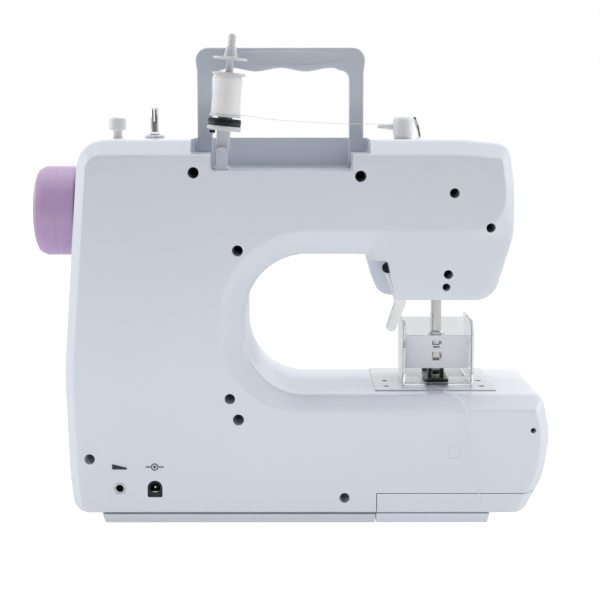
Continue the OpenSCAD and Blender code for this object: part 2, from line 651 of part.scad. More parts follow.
module feed_dog() color("silver") {
    for (x = feed_x) difference() {
        block(x, feed_y, [bed_z - 5, bed_z + 1.1]);
        for (y = [feed_y[0] + 1:2:feed_y[1]])
            translate([x[0] - 1, y, bed_z + 0.9]) rotate([45, 0, 0]) cube([10, 1, 1]);
    }
    block([feed_x[0][0], feed_x[1][1]], feed_y, [bed_z - 7.5, bed_z - 4.5]);
}

// Rotary hook: a cup on an upright shaft, with the gear that the lower shaft drives
module hook() color("silver") {
    difference() {
        rod_z(50, 66, needle_x, hook_y, 14);
        rod_z(52, 67, needle_x, hook_y, 12);
        // gap behind the hook's point
        translate([needle_x, hook_y, 58]) rotate([0, 0, 20]) cube([20, 10, 10]);
    }
    rod_z(seam_z + 2.4, 51, needle_x, hook_y, 2.5);
    rod_z(lower_z - 4, lower_z + 4, needle_x, hook_y, 8.9);
}

module bobbin() color("lightgray") difference() {
    union() {
        for (z = [53, 62.5]) rod_z(z, z + 1.2, needle_x, hook_y, 10.3);
        rod_z(53.5, 63, needle_x, hook_y, 8.5);
    }
    rod_z(50, 70, needle_x, hook_y, 3);
}

// White lever with a bend, which lifts the presser bar
module presser_lifter() color("white") difference() {
    upright(20.5, 27.5) polygon(rounded([
        [lifter[0] + 3.6, lifter[1] + 3.6, 3, 4], [lifter[0] - 4, lifter[1] + 3.6, 3, 4],
        [-54.9, 121.5, 3, 3], [-48.6, 105.2, 2.5, 4], [-43, 106.2, 2.5, 4], [-48.3, 122.5, 3, 3]
    ]));
    rod_y(19, 29, lifter[0], lifter[1], 1.7 + running);
}

module lifter_pin() color("dimgray") {
    rod_y(15.9, 29, lifter[0], lifter[1], 1.7);
    rod_y(28, 30, lifter[0], lifter[1], 3);
}

// ---- Controls on the front ----

module stitch_dial() color("plum") {
    rod_y(front_y - 3, front_y - 0.4, dial_at[0], dial_at[1], stitch_dial_r);
    intersection() {
        rod_y(front_y - 13, front_y - 2, dial_at[0], dial_at[1], stitch_dial_r - 3);
        block([dial_at[0] - 5, dial_at[0] + 5], [front_y - 14, front_y], [dial_at[1] - 30, dial_at[1] + 30]);
    }
    rod_y(front_y - 1, front_y + 12, dial_at[0], dial_at[1], 4);
}

module tension_dial() color("plum") {
    difference() {
        rod_y(front_y - 9, front_y - 0.4, tension_at[0], tension_at[1], 9.5);
        for (i = [0:23]) translate([tension_at[0], front_y, tension_at[1]]) rotate([0, i * 15 + 4, 0])
            translate([9.5, -3, 0]) rotate([0, 45, 0]) cube([0.8, 8, 0.8], center = true);
        rod_y(front_y - 12, front_y - 7.8, tension_at[0], tension_at[1], 6.5);
    }
    rod_y(front_y - 1, front_y + 12, tension_at[0], tension_at[1], 3);
}

module reverse_lever() color("plum") {
    rod_x(79.6, 88.4, front_y + 3, 50, 2.8);
    block([79.6, 88.4], [front_y - 10, front_y + 3], [48, 52]);
    rod_x(79.6, 88.4, front_y - 10, 50, 2.8);
}

module switch_knob(x) {
    block([x - 3, x + 3], [front_y - 2.5, front_y + 3.5], [switch_z - 2, switch_z + 2]);
    block([x - 3.4, x + 3.4], [front_y - 2.6, front_y - 0.3], [switch_z - 3.4, switch_z + 3.4]);
}
module speed_switch() color("dimgray") switch_knob(switch_x[0] - 2);
module light_switch() color("dimgray") switch_knob(switch_x[1] - 2);

// ---- Electrics ----

// Lamp in the head's underside, with a flange that rests on the wall
module lamp() color("lemonchiffon") {
    rod_z(head_z + wall + tiny, head_z + 5.6, lamp_at[0], lamp_at[1], 3.4);
    rod_z(head_z - 1, head_z + 3, lamp_at[0], lamp_at[1], 2.6);
}

module circuit_board() color("seagreen")
    block([76, 112], [rear_y - 14.6, rear_y - 13], [10, 40]);

// D-shaped low-voltage inlet
module dc_jack() color("dimgray") difference() {
    union() {
        block([dc_at[0] - 4, dc_at[0] + 4], [rear_y - 13, rear_y - 0.6], [dc_at[1] - 4.6, dc_at[1] + 0.6]);
        rod_y(rear_y - 13, rear_y - 0.6, dc_at[0], dc_at[1] + 0.6, 4);
    }
    rod_y(rear_y - 10, rear_y, dc_at[0], dc_at[1] + 0.6, 2.8);
}

module pedal_jack() color("silver") difference() {
    rod_y(rear_y - 13, rear_y + 0.3, pedal_at[0], pedal_at[1], 2.9);
    rod_y(rear_y - 11, rear_y + 1, pedal_at[0], pedal_at[1], 1.9);
}

// Plain pictograms above the inlets: a foot pedal, and a plug with its two contacts
module port_marks() color("dimgray") {
    y = [rear_y + tiny, rear_y + 0.2];
    p = pedal_at[0];
    upright(y[0], y[1]) polygon([[p - 4, 33], [p + 4, 33], [p + 4, 36], [p - 4, 34]]);
    difference() {
        rod_y(y[0], y[1], dc_at[0], 34.4, 2);
        rod_y(y[0] - 1, y[1] + 1, dc_at[0], 34.4, 1.5);
    }
    rod_y(y[0], y[1], dc_at[0], 34.4, 0.7);
    for (s = [-1, 1]) block([dc_at[0] + s * 3.6 - 1.3, dc_at[0] + s * 3.6 + 1.3], y, [34.1, 34.7]);
}

// ---- Top of the machine ----

// Handle with finger waves under its bar, and two arms that slide down into the casing
module carry_handle() color("lightsteelblue") {
    x = [arm_x[1][0], arm_x[0][1]];
    inner = [arm_x[1][1], arm_x[0][0]];
    bar = handle_top - 11.4;
    upright(handle_y[0], handle_y[1]) difference() {
        polygon(rounded([
            [x[1], slot_z - 6.3, 1, 2], [x[1], bar - 2, 2, 2], [x[1] + 0.8, bar + 4, 2, 2],
            [x[1] + 0.8, handle_top, 7, 8], [x[0] - 0.8, handle_top, 7, 8], [x[0] - 0.8, bar + 4, 2, 2],
            [x[0], bar - 2, 2, 2], [x[0], slot_z - 6.3, 1, 2]
        ]));
        polygon([
            [inner[1], slot_z - 10], each arc([inner[1], 230], [inner[1], bar - 1], [0, bar - 1], 5, 6),
            each [for (s = [inner[1] - 8:-2:inner[0] + 8]) [s, bar - 0.6 + cos((s - 15) * 13)]],
            each arc([20, bar - 1], [inner[0], bar - 1], [inner[0], 230], 5, 6), [inner[0], slot_z - 10]
        ]);
    }
}

module on_spool_axis() translate([spool_x, spool_y, spool_z]) rotate([0, -spool_lean, 0]) children();

// Ears on the recess's floor with the pin that the spool holder folds on
module pin_bracket() color("gainsboro") {
    block([spool_x - 4, spool_x + 4], [spool_y - 6.5, spool_y + 6.5], [recess_z + tiny, recess_z + 1.6]);
    for (y = [[spool_y - 6.5, spool_y - 4], [spool_y + 4, spool_y + 6.5]]) {
        block([spool_x - 3, spool_x + 3], y, [recess_z + 1, spool_z]);
        rod_y(y[0], y[1], spool_x, spool_z, 3);
    }
    rod_y(spool_y - 6, spool_y + 6, spool_x, spool_z, 1.5);
}

module spool_holder() color("white") difference() {
    union() {
        rod_y(spool_y - 3.7, spool_y + 3.7, spool_x, spool_z, 3.65);
        on_spool_axis() {
            block([-3.65, 3.65], [-3.2, 3.2], [0, 12.5]);
            rod_z(12, 14.6, 0, 0, 9.4);
            rod_z(14, 19.4, 0, 0, 4);
            rod_z(14, spool_pin_length - 0.8, 0, 0, spool_pin_r);
            translate([0, 0, spool_pin_length - 0.8]) cylinder(h = 0.8, r1 = spool_pin_r, r2 = 1.3);
        }
    }
    rod_y(spool_y - 5, spool_y + 5, spool_x, spool_z, 1.5 + running);
}

// Dark toothed ring that the spool stands on
module spool_ring() color("dimgray") on_spool_axis() difference() {
    rod_z(14.6 + tiny, 18.6, 0, 0, 9);
    rod_z(14, 20, 0, 0, 4 + tiny);
    for (i = [0:29]) rotate([0, 0, i * 12]) translate([9, 0, 17]) rotate([0, 0, 45])
        cube([0.8, 0.8, 4], center = true);
}

module thread_spool() color("white") on_spool_axis() difference() {
    union() {
        rod_z(19.5, 21, 0, 0, 8.6);
        rod_z(20, 43, 0, 0, 3.6);
        rod_z(42, 43.6, 0, 0, 9);
    }
    rod_z(19, 44, 0, 0, spool_pin_r + running);
}

module wound_thread() color("snow") on_spool_axis() difference() {
    translate([0, 0, 21 + tiny]) cylinder(h = 21 - 2 * tiny, r1 = 8.1, r2 = 7.7);
    rod_z(20, 43, 0, 0, 3.6 + tiny);
}

module spool_cap() color("whitesmoke") on_spool_axis() difference() {
    union() {
        rod_z(50.4, 51.8, 0, 0, 9.5);
        translate([0, 0, 51.7]) cylinder(h = 6, r1 = 4, r2 = 2.7);
    }
    rod_z(50, 59, 0, 0, spool_pin_r + running);
}

module winder_base() color("gainsboro") difference() {
    union() {
        rod_z(top_z + tiny, top_z + 1.8, winder_x, winder_y, 5.6);
        rod_z(top_z - 9, top_z + 0.5, winder_x, winder_y, 3.3);
    }
    rod_z(top_z - 10, top_z + 3, winder_x, winder_y, 2.4 + running);
}

// Spindle that a bobbin is pushed onto, with a spring wire on its side
module winder_spindle() color("silver") {
    rod_z(top_z - 12, 228.9, winder_x, winder_y, 2.4);
    translate([winder_x, winder_y, 228.9]) cylinder(h = 0.8, r1 = 2.4, r2 = 1.8);
    rod_z(top_z + 1.9, top_z + 3, winder_x, winder_y, 3.2);
}

module winder_stop() color("white") {
    rod_z(top_z + tiny, 218, 106.6, winder_y, 2.6);
    rod_z(217, 224, 106.6, winder_y, 4.9);
}

// Thread guide post with its side stub
module thread_guide() color("white") {
    rod_z(top_z + tiny, 224.4, -52.7, 18, 5.65);
    rod_x(-52, -38.6, 18, 219, 1.7);
}

// Tube of radius r that follows a list of points
module tube(p, r, sides) {
    n = len(p);
    function way(i) = unit(p[min(n - 1, i + 1)] - p[max(0, i - 1)]);
    function across(i) = unit(cross(way(i), [1, 0.05, 0.03]));
    points = [for (i = [0:n - 1]) for (k = [0:sides - 1])
        p[i] + r * (cos(k * 360 / sides) * across(i) + sin(k * 360 / sides) * cross(way(i), across(i)))];
    polyhedron(points = points, faces = [
        [for (k = [0:sides - 1]) k],
        for (i = [0:n - 2]) for (k = [0:sides - 1])
            let (a = i * sides + k, b = i * sides + (k + 1) % sides)
            each [[a, a + sides, b + sides], [a, b + sides, b]],
        [for (k = [sides - 1:-1:0]) (n - 1) * sides + k]
    ]);
}

// Loose end of the thread: over the bed's rear edge and down the rear face
module thread_tail() color("white") tube(tail_route, 0.3, 8);

rear_casing();
front_casing();
base_tray();
rubber_feet();
casing_screws();
machine_frame();
shaft_bushes();
bed_frame();
lower_bushes();
needle_plate();
bobbin_cover();
accessory_drawer();
handwheel();
main_shaft();
belt_pulley();
upper_gear();
crank();
connecting_rod();
timing_belt();
drive_belt();
motor();
motor_pulley();
needle_bar();
needle_clamp();
needle();
take_up_lever();
presser_bar();
foot_holder();
presser_foot();
guard_bracket();
finger_guard();
presser_lifter();
lifter_pin();
lower_shaft();
lower_gear();
hook();
bobbin();
feed_dog();
stitch_dial();
tension_dial();
reverse_lever();
speed_switch();
light_switch();
lamp();
circuit_board();
dc_jack();
pedal_jack();
port_marks();
carry_handle();
pin_bracket();
spool_holder();
spool_ring();
thread_spool();
wound_thread();
spool_cap();
winder_base();
winder_spindle();
winder_stop();
thread_guide();
thread_tail();
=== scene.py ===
"""Looks of a small electric sewing machine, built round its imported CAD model.

Lengths in this script are millimetres in the CAD's own frame, and build() turns them into metres.
The rear of the machine faces +Y and the handwheel is on the +X side.
"""

import cmath
import math

import bmesh
import bpy
from mathutils import Matrix, Vector


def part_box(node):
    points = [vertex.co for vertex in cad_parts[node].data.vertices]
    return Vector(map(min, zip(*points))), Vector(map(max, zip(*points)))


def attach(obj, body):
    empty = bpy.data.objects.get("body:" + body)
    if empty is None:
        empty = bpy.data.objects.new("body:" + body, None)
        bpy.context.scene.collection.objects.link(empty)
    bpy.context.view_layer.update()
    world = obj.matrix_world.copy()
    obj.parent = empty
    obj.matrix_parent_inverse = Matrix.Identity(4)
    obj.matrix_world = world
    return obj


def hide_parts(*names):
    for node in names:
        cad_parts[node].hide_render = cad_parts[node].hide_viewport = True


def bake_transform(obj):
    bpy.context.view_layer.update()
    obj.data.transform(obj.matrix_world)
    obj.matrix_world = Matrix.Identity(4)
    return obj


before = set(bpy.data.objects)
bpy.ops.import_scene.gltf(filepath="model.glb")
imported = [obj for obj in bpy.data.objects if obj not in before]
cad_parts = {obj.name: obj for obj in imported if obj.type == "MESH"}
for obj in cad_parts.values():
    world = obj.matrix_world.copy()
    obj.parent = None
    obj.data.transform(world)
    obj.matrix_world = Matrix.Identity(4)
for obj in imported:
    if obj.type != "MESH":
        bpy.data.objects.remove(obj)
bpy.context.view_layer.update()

MM = 0.001
FINE = 0.02                     # keeps a cutter's face out of the plane of the face that it cuts


def span(node):
    """Lowest and highest corner of a CAD node, in millimetres."""
    low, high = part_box(node)
    return low / MM, high / MM


# ---- The casing's main sizes ----
TOP_Z = span("rear_casing")[1].z
REAR_Y = span("rear_casing")[1].y
FRONT_Y = span("front_casing")[0].y
BED_Z = span("needle_plate")[1].z - 0.5
ARM_Z = 150.5
HEAD_Z = 125
FLOOR_Z = 6
SEAM_X, SEAM_Z = span("accessory_drawer")[1].x + 0.4, span("accessory_drawer")[1].z + 0.4
WALL = 2.4
GAP = 0.4
LINING = 2.2
BEVEL = 9                       # depth of the slanted band round the rear and front faces
TOP_BAND, END_BAND, THROAT_BAND, BED_BAND = 8.5, 6, 13, 7

# ---- Places of the working parts ----
NEEDLE_X = -73.8
SHAFT_Y, SHAFT_Z = -6, 171
PRESSER_Y = 4
COVER_X = (-92.3, -55.7)        # sides of the bobbin cover's groove
SPOOL = Vector((47.2, 24, 205))
SPOOL_LEAN = math.radians(-5.6)
PIN_LENGTH = 64.6
LIFTER = (-44, 141.8)
WINDER = (85.8, 5)
WINDER_STOP_X = 106.6
GUIDE = (-52.7, 18)
GUIDE_STUB_Z = 219
TAKE_UP = (-26, 184)
FOOT_PIN_Z = 80
DIAL = (84, 98)
TENSION = (-90, 178)
POWER = (83.9, 22)
PEDAL = (103.2, 22.3)
SLOT_X, SLOT_Z = (-33.5, 63), 204.8
RECESS_X, RECESS_Z = (-24.1, 52.5), 195.6
RECESS_FRONT = -3

# Corners of the casing: x, z, radius, arc steps and the band's width along the side that follows
CORNERS = [
    (124, TOP_Z, 16, 12, TOP_BAND), (-84, TOP_Z, 60, 6, TOP_BAND), (-108.6, TOP_Z - 2.6, 9, 10, END_BAND),
    (-111.8, 188, 25, 4, END_BAND), (-112, 161, 30, 8, END_BAND),
    (-101.4, HEAD_Z, 13, 10, 8), (-39.4, HEAD_Z, 9, 8, 9),
    (-32.2, ARM_Z, 4, 6, THROAT_BAND), (34.5, ARM_Z, 34, 24, THROAT_BAND),
    (34, BED_Z, 33, 24, BED_BAND), (-129.5, BED_Z, 6, 8, END_BAND),
    (-134.2, 50, 40, 4, END_BAND), (-130.5, 27, 30, 4, END_BAND),
    (-119.5, FLOOR_Z, 9, 8, 3), (129.4, FLOOR_Z, 9, 8, END_BAND),
    (131.9, 28, 60, 3, END_BAND), (133.7, 85, 150, 4, END_BAND),
]
# Below this height the whole head slants: the band's inner edge runs straight across it
FOLD_Z = ARM_Z + THROAT_BAND
FOLD_CORNER = 4                 # the corner where the band's edge turns into the head
FOLD_RADIUS = 18
FOLD_SPANS = {5: (-78, -60), 6: (-52, -43), 7: (-38, -26)}

# Screw wells in the rear face: x, z, radius and the place of the well's floor along Y
DEEP, SHALLOW = 3, 16           # a deep well's screw reaches into the front half
WELLS = [
    (61.3, 195.1, 3.0, SHALLOW), (-28.1, 193.2, 3.0, SHALLOW), (-78.4, 184.2, 2.6, SHALLOW),
    (-98.2, 165.5, 2.6, DEEP), (-76.2, 139.7, 2.5, SHALLOW), (-75.4, 132.6, 2.1, SHALLOW),
    (37.9, 153.3, 2.9, DEEP), (42.5, 72.2, 2.8, DEEP), (37.9, 60.6, 3.0, DEEP),
    (119.5, 38.6, 2.8, DEEP), (-20.2, 16.8, 2.7, DEEP), (-123.2, 54.6, 2.7, DEEP),
]

# Route of the loose thread, from the needle plate over the bed's edge and down its rear face
TAIL = [
    (-70, 14, 73.7), (-72, 22, 73.7), (-75, 30, 73.75), (-77, 36, 73.5), (-79.5, 41, 73.25),
    (-81.5, 44.4, 72.75), (-83.2, 46.3, 71.7), (-84.2, 48.1, 70.5), (-85.2, 49.4, 68.2),
    (-86, 50.45, 65.5), (-87, 50.5, 58), (-87.8, 50.5, 50), (-89, 50.5, 42), (-91, 50.5, 34),
    (-93, 50.5, 26), (-94.3, 50.5, 18), (-94.8, 50.5, 10),
]


# ======== Flat outlines, as complex numbers ========

def unit(v):
    return v / abs(v)


def fillet(before, corner, after, radius, steps):
    """Arc that rounds a corner."""
    u, v = unit(corner - before), unit(after - corner)
    turn = cmath.phase(v / u)
    side = math.copysign(radius, turn)
    centre = corner - u * radius * math.tan(abs(turn) / 2) + 1j * u * side
    return [centre - 1j * u * side * cmath.exp(1j * turn * k / steps) for k in range(steps + 1)]


def outline(corners):
    """Closed outline of corners given as x, z, radius and arc steps."""
    points = [complex(c[0], c[1]) for c in corners]
    after = points[1:] + points[:1]
    rounded = []
    for i, c in enumerate(corners):
        rounded += fillet(points[i - 1], points[i], after[i], c[2], c[3])
    return [p for p, q in zip(rounded, rounded[1:] + rounded[:1]) if abs(p - q) > 1e-3]


def inset(points, distance):
    """The same outline moved inwards, point by point."""
    moved = []
    for before, p, after in zip(points[-1:] + points[:-1], points, points[1:] + points[:1]):
        u, v = unit(p - before), unit(after - p)
        n = unit(1j * (u + v))
        moved.append(p + n * distance / max(0.3, (n.conjugate() * 1j * u).real))
    return moved


def rectangle(x, z, radius, steps=5):
    return outline([(x[1], z[1], radius, steps), (x[0], z[1], radius, steps),
                    (x[0], z[0], radius, steps), (x[1], z[0], radius, steps)])


def soft(points, radius, steps=4):
    """An open line of (r, h) points with its corners rounded as far as its stretches allow."""
    p = [complex(*q) for q in points]
    line = [p[0]]
    for a, b, c in zip(p, p[1:], p[2:]):
        turn = abs(cmath.phase((c - b) / (b - a)))
        room = 0.45 * min(abs(b - a), abs(c - b)) / max(1e-6, math.tan(turn / 2))
        line += [b] if turn < 0.05 else fillet(a, b, c, min(radius, room), steps)
    return [(q.real, q.imag) for q in line + [p[-1]]]


# ======== Meshes ========

def place(axis, u, v, h):
    """A point given by its outline's two coordinates and its place along the axis."""
    return {"x": (h, u, v), "y": (u, h, v), "z": (u, v, h)}[axis]


def linked(obj):
    bpy.context.scene.collection.objects.link(obj)
    return obj


def build(name, verts, faces, matrix=Matrix.Identity(4)):
    """New object from vertices in millimetres."""
    mesh = bpy.data.meshes.new(name)
    mesh.from_pydata([matrix @ Vector(v) * MM for v in verts], [], faces)
    bm = bmesh.new()
    bm.from_mesh(mesh)
    bmesh.ops.remove_doubles(bm, verts=bm.verts, dist=1e-7)
    bmesh.ops.recalc_face_normals(bm, faces=bm.faces)
    bmesh.ops.triangulate(bm, faces=[f for f in bm.faces if len(f.verts) > 4])
    bm.to_mesh(mesh)
    bm.free()
    return linked(bpy.data.objects.new(name, mesh))


def skin(name, rings, matrix=Matrix.Identity(4), closed=False):
    """Solid skinned over rings with equally many points; a closed one joins its last ring to its first."""
    n, m = len(rings[0]), len(rings)
    faces = [
        (j * n + i, j * n + (i + 1) % n, (j + 1) % m * n + (i + 1) % n, (j + 1) % m * n + i)
        for j in range(m if closed else m - 1) for i in range(n)
    ]
    if not closed:
        faces += [tuple(range(n)), tuple(range((m - 1) * n, m * n))]
    return build(name, [p for ring in rings for p in ring], faces, matrix)


def prism(name, points, low, high, axis="y", edge=0.5, taper=0.0, matrix=Matrix.Identity(4)):
    """Outline drawn out along an axis, with rounded rims; taper moves its low end inwards."""
    area = sum((p.conjugate() * q).imag for p, q in zip(points, points[1:] + points[:1]))
    points = points if area > 0 else points[::-1]
    turns = [math.pi / 2 * k / 3 for k in range(4)] if edge else [0]
    rows = [(taper + edge * (1 - math.sin(t)), low + edge * (1 - math.cos(t))) for t in turns]
    rows += [(edge * (1 - math.sin(t)), high - edge * (1 - math.cos(t))) for t in reversed(turns)]
    rings = [[place(axis, p.real, p.imag, h) for p in inset(points, d)] for d, h in rows]
    return skin(name, rings, matrix)


def turned(name, profile, axis, u=0, v=0, segments=72, matrix=Matrix.Identity(4), bored=False):
    """Lathe work: (radius, place along the axis) points turned about the axis through u, v."""
    verts, rows = [], []
    for r, h in profile:
        count = 1 if r < 1e-4 else segments
        rows.append((len(verts), count))
        for k in range(count):
            t = 2 * math.pi * k / segments
            verts.append(place(axis, u + r * math.cos(t), v + r * math.sin(t), h))
    faces = []
    for (a, n), (b, m) in zip(rows, rows[1:] + (rows[:1] if bored else [])):
        for k in range(segments):
            corners = (a + k % n, a + (k + 1) % n, b + (k + 1) % m, b + k % m)
            if len(set(corners)) > 2:
                faces.append(tuple(dict.fromkeys(corners)))
    if not bored:
        faces += [tuple(range(a, a + n)) for a, n in (rows[0], rows[-1]) if n > 1]
    return build(name, verts, faces, matrix)


def lathe(name, profile, rounding, axis, u=0, v=0, segments=72, base=0, **more):
    """Lathe work with rounded corners; the places in its profile are counted from base."""
    return turned(name, soft([(r, base + h) for r, h in profile], rounding), axis, u, v, segments, **more)


def drill(name, radius, reach, axis, u=0, v=0, segments=72):
    """Plain cylinder between two places on the axis through u, v."""
    low, high = reach
    return turned(name, [(0, low), (radius, low), (radius, high), (0, high)], axis, u, v, segments)


def around(middle, half):
    """Interval of a given half width."""
    return middle - half, middle + half


def slab(name, x, y, z, edge=0.4, matrix=Matrix.Identity(4)):
    """Box with rounded edges."""
    bm = bmesh.new()
    bmesh.ops.create_cube(bm, size=1)
    size = Vector((x[1] - x[0], y[1] - y[0], z[1] - z[0]))
    middle = Vector((x[1] + x[0], y[1] + y[0], z[1] + z[0])) / 2
    bmesh.ops.transform(bm, matrix=Matrix.Translation(middle) @ Matrix.Diagonal((*size, 1)), verts=bm.verts)
    if edge:
        bmesh.ops.bevel(bm, geom=bm.edges[:], offset=edge, segments=3, profile=0.5, affect="EDGES")
    bm.verts.index_update()
    verts = [v.co.copy() for v in bm.verts]
    faces = [[v.index for v in f.verts] for f in bm.faces]
    bm.free()
    return build(name, verts, faces, matrix)


def tube(name, path, radius, sides=12, matrix=Matrix.Identity(4)):
    """Round wire along a line of points."""
    p = [Vector(q) for q in path]
    rings = []
    across = None
    for i, q in enumerate(p):
        way = (p[min(i + 1, len(p) - 1)] - p[max(i - 1, 0)]).normalized()
        across = way.orthogonal() if across is None else across - way * across.dot(way)
        across.normalize()
        up = way.cross(across)
        rings.append([q + radius * (math.cos(t) * across + math.sin(t) * up)
                      for t in [2 * math.pi * k / sides for k in range(sides)]])
    return skin(name, rings, matrix)


def curve_through(points, steps=6):
    """Smooth line through the points (Catmull-Rom)."""
    p = [Vector(q) for q in points]
    p = [2 * p[0] - p[1]] + p + [2 * p[-1] - p[-2]]
    line = []
    for a, b, c, d in zip(p, p[1:], p[2:], p[3:]):
        for k in range(steps):
            t = k / steps
            square, cube = 2 * a - 5 * b + 4 * c - d, 3 * b - a - 3 * c + d
            line.append(0.5 * (2 * b + (c - a) * t + square * t * t + cube * t ** 3))
    return line + [p[-2]]


def triangles(mesh):
    """Splits every face of a mesh into triangles."""
    bm = bmesh.new()
    bm.from_mesh(mesh)
    bmesh.ops.triangulate(bm, faces=bm.faces)
    bm.to_mesh(mesh)
    bm.free()


def combine(obj, others, operation="DIFFERENCE"):
    """Applies one boolean after another and removes the tools."""
    triangles(obj.data)
    for other in others:
        triangles(other.data)
        modifier = obj.modifiers.new("cut", "BOOLEAN")
        modifier.object, modifier.operation, modifier.solver = other, operation, "MANIFOLD"
        evaluated = obj.evaluated_get(bpy.context.evaluated_depsgraph_get())
        mesh = bpy.data.meshes.new_from_object(evaluated)
        obj.modifiers.clear()
        triangles(mesh)
        obj.data = mesh
        bpy.data.objects.remove(other)
    return obj


def joined(name, objs):
    """One object from several separate solids."""
    bm = bmesh.new()
    for obj in objs:
        bm.from_mesh(obj.data)
        bpy.data.objects.remove(obj)
    mesh = bpy.data.meshes.new(name)
    bm.to_mesh(mesh)
    bm.free()
    return linked(bpy.data.objects.new(name, mesh))


def piece(obj, body, material, slot, *nodes, angle=32):
    """Finishes a piece: shading, material, the nodes it stands for and the body it rides on; the slot
    argument is not used.
    """
    mesh = obj.data
    mesh.materials.clear()
    mesh.materials.append(material)
    if obj.type == "MESH":
        mesh.polygons.foreach_set("use_smooth", [True] * len(mesh.polygons))
        mesh.polygons.foreach_set("material_index", [0] * len(mesh.polygons))
        mesh.set_sharp_from_angle(angle=math.radians(angle))
        modifier = obj.modifiers.new("normals", "WEIGHTED_NORMAL")
        modifier.keep_sharp = True
    if nodes:
        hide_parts(*nodes)
    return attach(obj, body)


# ======== Materials ========

def srgb(r, g, b):
    """Linear colour of 0-255 sRGB values."""
    return tuple(c / 3294.6 if c <= 10 else ((c / 255 + 0.055) / 1.055) ** 2.4 for c in (r, g, b)) + (1,)


def new_material(name):
    material = bpy.data.materials.new(name)
    material.use_nodes = True
    nodes, links = material.node_tree.nodes, material.node_tree.links
    shader = nodes["Principled BSDF"]
    where = nodes.new("ShaderNodeTexCoord")
    return material, nodes, links, shader, where.outputs["Object"]


def noise(nodes, links, where, scale, detail=3, stretch=(1, 1, 1)):
    """Noise over the piece; a stretched one runs along an axis."""
    mapping = nodes.new("ShaderNodeMapping")
    mapping.inputs["Scale"].default_value = stretch
    links.new(where, mapping.inputs["Vector"])
    texture = nodes.new("ShaderNodeTexNoise")
    texture.inputs["Scale"].default_value = scale
    texture.inputs["Detail"].default_value = detail
    links.new(mapping.outputs["Vector"], texture.inputs["Vector"])
    return texture.outputs["Fac"]


def spread(nodes, links, value, low, high):
    """Maps the middle of a noise's range to low...high."""
    node = nodes.new("ShaderNodeMapRange")
    node.inputs["From Min"].default_value = 0.3
    node.inputs["From Max"].default_value = 0.7
    node.inputs["To Min"].default_value = low
    node.inputs["To Max"].default_value = high
    links.new(value, node.inputs["Value"])
    return node.outputs["Result"]


def two_tone(nodes, links, value, first, second):
    mix = nodes.new("ShaderNodeMix")
    mix.data_type = "RGBA"
    mix.inputs["A"].default_value = first
    mix.inputs["B"].default_value = second
    links.new(value, mix.inputs["Factor"])
    return mix.outputs["Result"]


def bump(nodes, links, shader, height, strength, distance):
    node = nodes.new("ShaderNodeBump")
    node.inputs["Strength"].default_value = strength
    node.inputs["Distance"].default_value = distance
    links.new(height, node.inputs["Height"])
    links.new(node.outputs["Normal"], shader.inputs["Normal"])


def finish(name, colour, rough, metal=0.0, tint=0.03, grain=900, depth=0.00002, stretch=(1, 1, 1), **sockets):
    """Moulded or machined surface: cloudy tint, uneven gloss and a fine grain."""
    material, nodes, links, shader, where = new_material(name)
    cloud = noise(nodes, links, where, 14, 4)
    light = tuple(min(1, c * (1 + tint)) for c in colour[:3]) + (1,)
    dark = tuple(c * (1 - tint) for c in colour[:3]) + (1,)
    links.new(two_tone(nodes, links, spread(nodes, links, cloud, 0, 1), dark, light),
            shader.inputs["Base Color"])
    fine = noise(nodes, links, where, grain, 2, stretch)
    smear = noise(nodes, links, where, 45, 5)
    links.new(spread(nodes, links, smear, rough * 0.85, rough * 1.2), shader.inputs["Roughness"])
    bump(nodes, links, shader, fine, 0.35, depth)
    shader.inputs["Metallic"].default_value = metal
    for socket, value in sockets.items():
        shader.inputs[socket.replace("_", " ")].default_value = value
    return material


def clear_plastic():
    material, nodes, links, shader, where = new_material("clear_acrylic")
    cloud = noise(nodes, links, where, 20, 3)
    tone = two_tone(nodes, links, cloud, srgb(236, 242, 246), srgb(250, 252, 253))
    links.new(tone, shader.inputs["Base Color"])
    links.new(spread(nodes, links, noise(nodes, links, where, 60, 4), 0.02, 0.06),
            shader.inputs["Roughness"])
    bump(nodes, links, shader, noise(nodes, links, where, 120, 2), 0.15, 0.00002)
    shader.inputs["Transmission Weight"].default_value = 1
    shader.inputs["IOR"].default_value = 1.3
    return material


def wound_fibre():
    """Thread laid in fine turns, with a slight twist in each."""
    material, nodes, links, shader, where = new_material("thread_turns")
    fluff = noise(nodes, links, where, 500, 6, (1, 1, 6))
    links.new(two_tone(nodes, links, fluff, srgb(228, 229, 227), srgb(253, 253, 251)),
            shader.inputs["Base Color"])
    links.new(spread(nodes, links, fluff, 0.55, 0.75), shader.inputs["Roughness"])
    bump(nodes, links, shader, fluff, 0.5, 0.00008)
    shader.inputs["Sheen Weight"].default_value = 0.4
    return material


def board_finish():
    """Green lacquer with copper tracks under it."""
    material, nodes, links, shader, where = new_material("green_board")
    tracks = nodes.new("ShaderNodeTexBrick")
    tracks.inputs["Scale"].default_value = 260
    tracks.inputs["Mortar Size"].default_value = 0.04
    tracks.inputs["Color1"].default_value = srgb(18, 84, 46)
    tracks.inputs["Color2"].default_value = srgb(14, 70, 40)
    tracks.inputs["Mortar"].default_value = srgb(60, 130, 70)
    swap = nodes.new("ShaderNodeMapping")
    swap.inputs["Rotation"].default_value = (math.pi / 2, 0, 0)
    links.new(where, swap.inputs["Vector"])
    links.new(swap.outputs["Vector"], tracks.inputs["Vector"])
    links.new(tracks.outputs["Color"], shader.inputs["Base Color"])
    links.new(spread(nodes, links, noise(nodes, links, where, 80), 0.25, 0.45), shader.inputs["Roughness"])
    bump(nodes, links, shader, tracks.outputs["Fac"], 0.3, 0.00004)
    return material


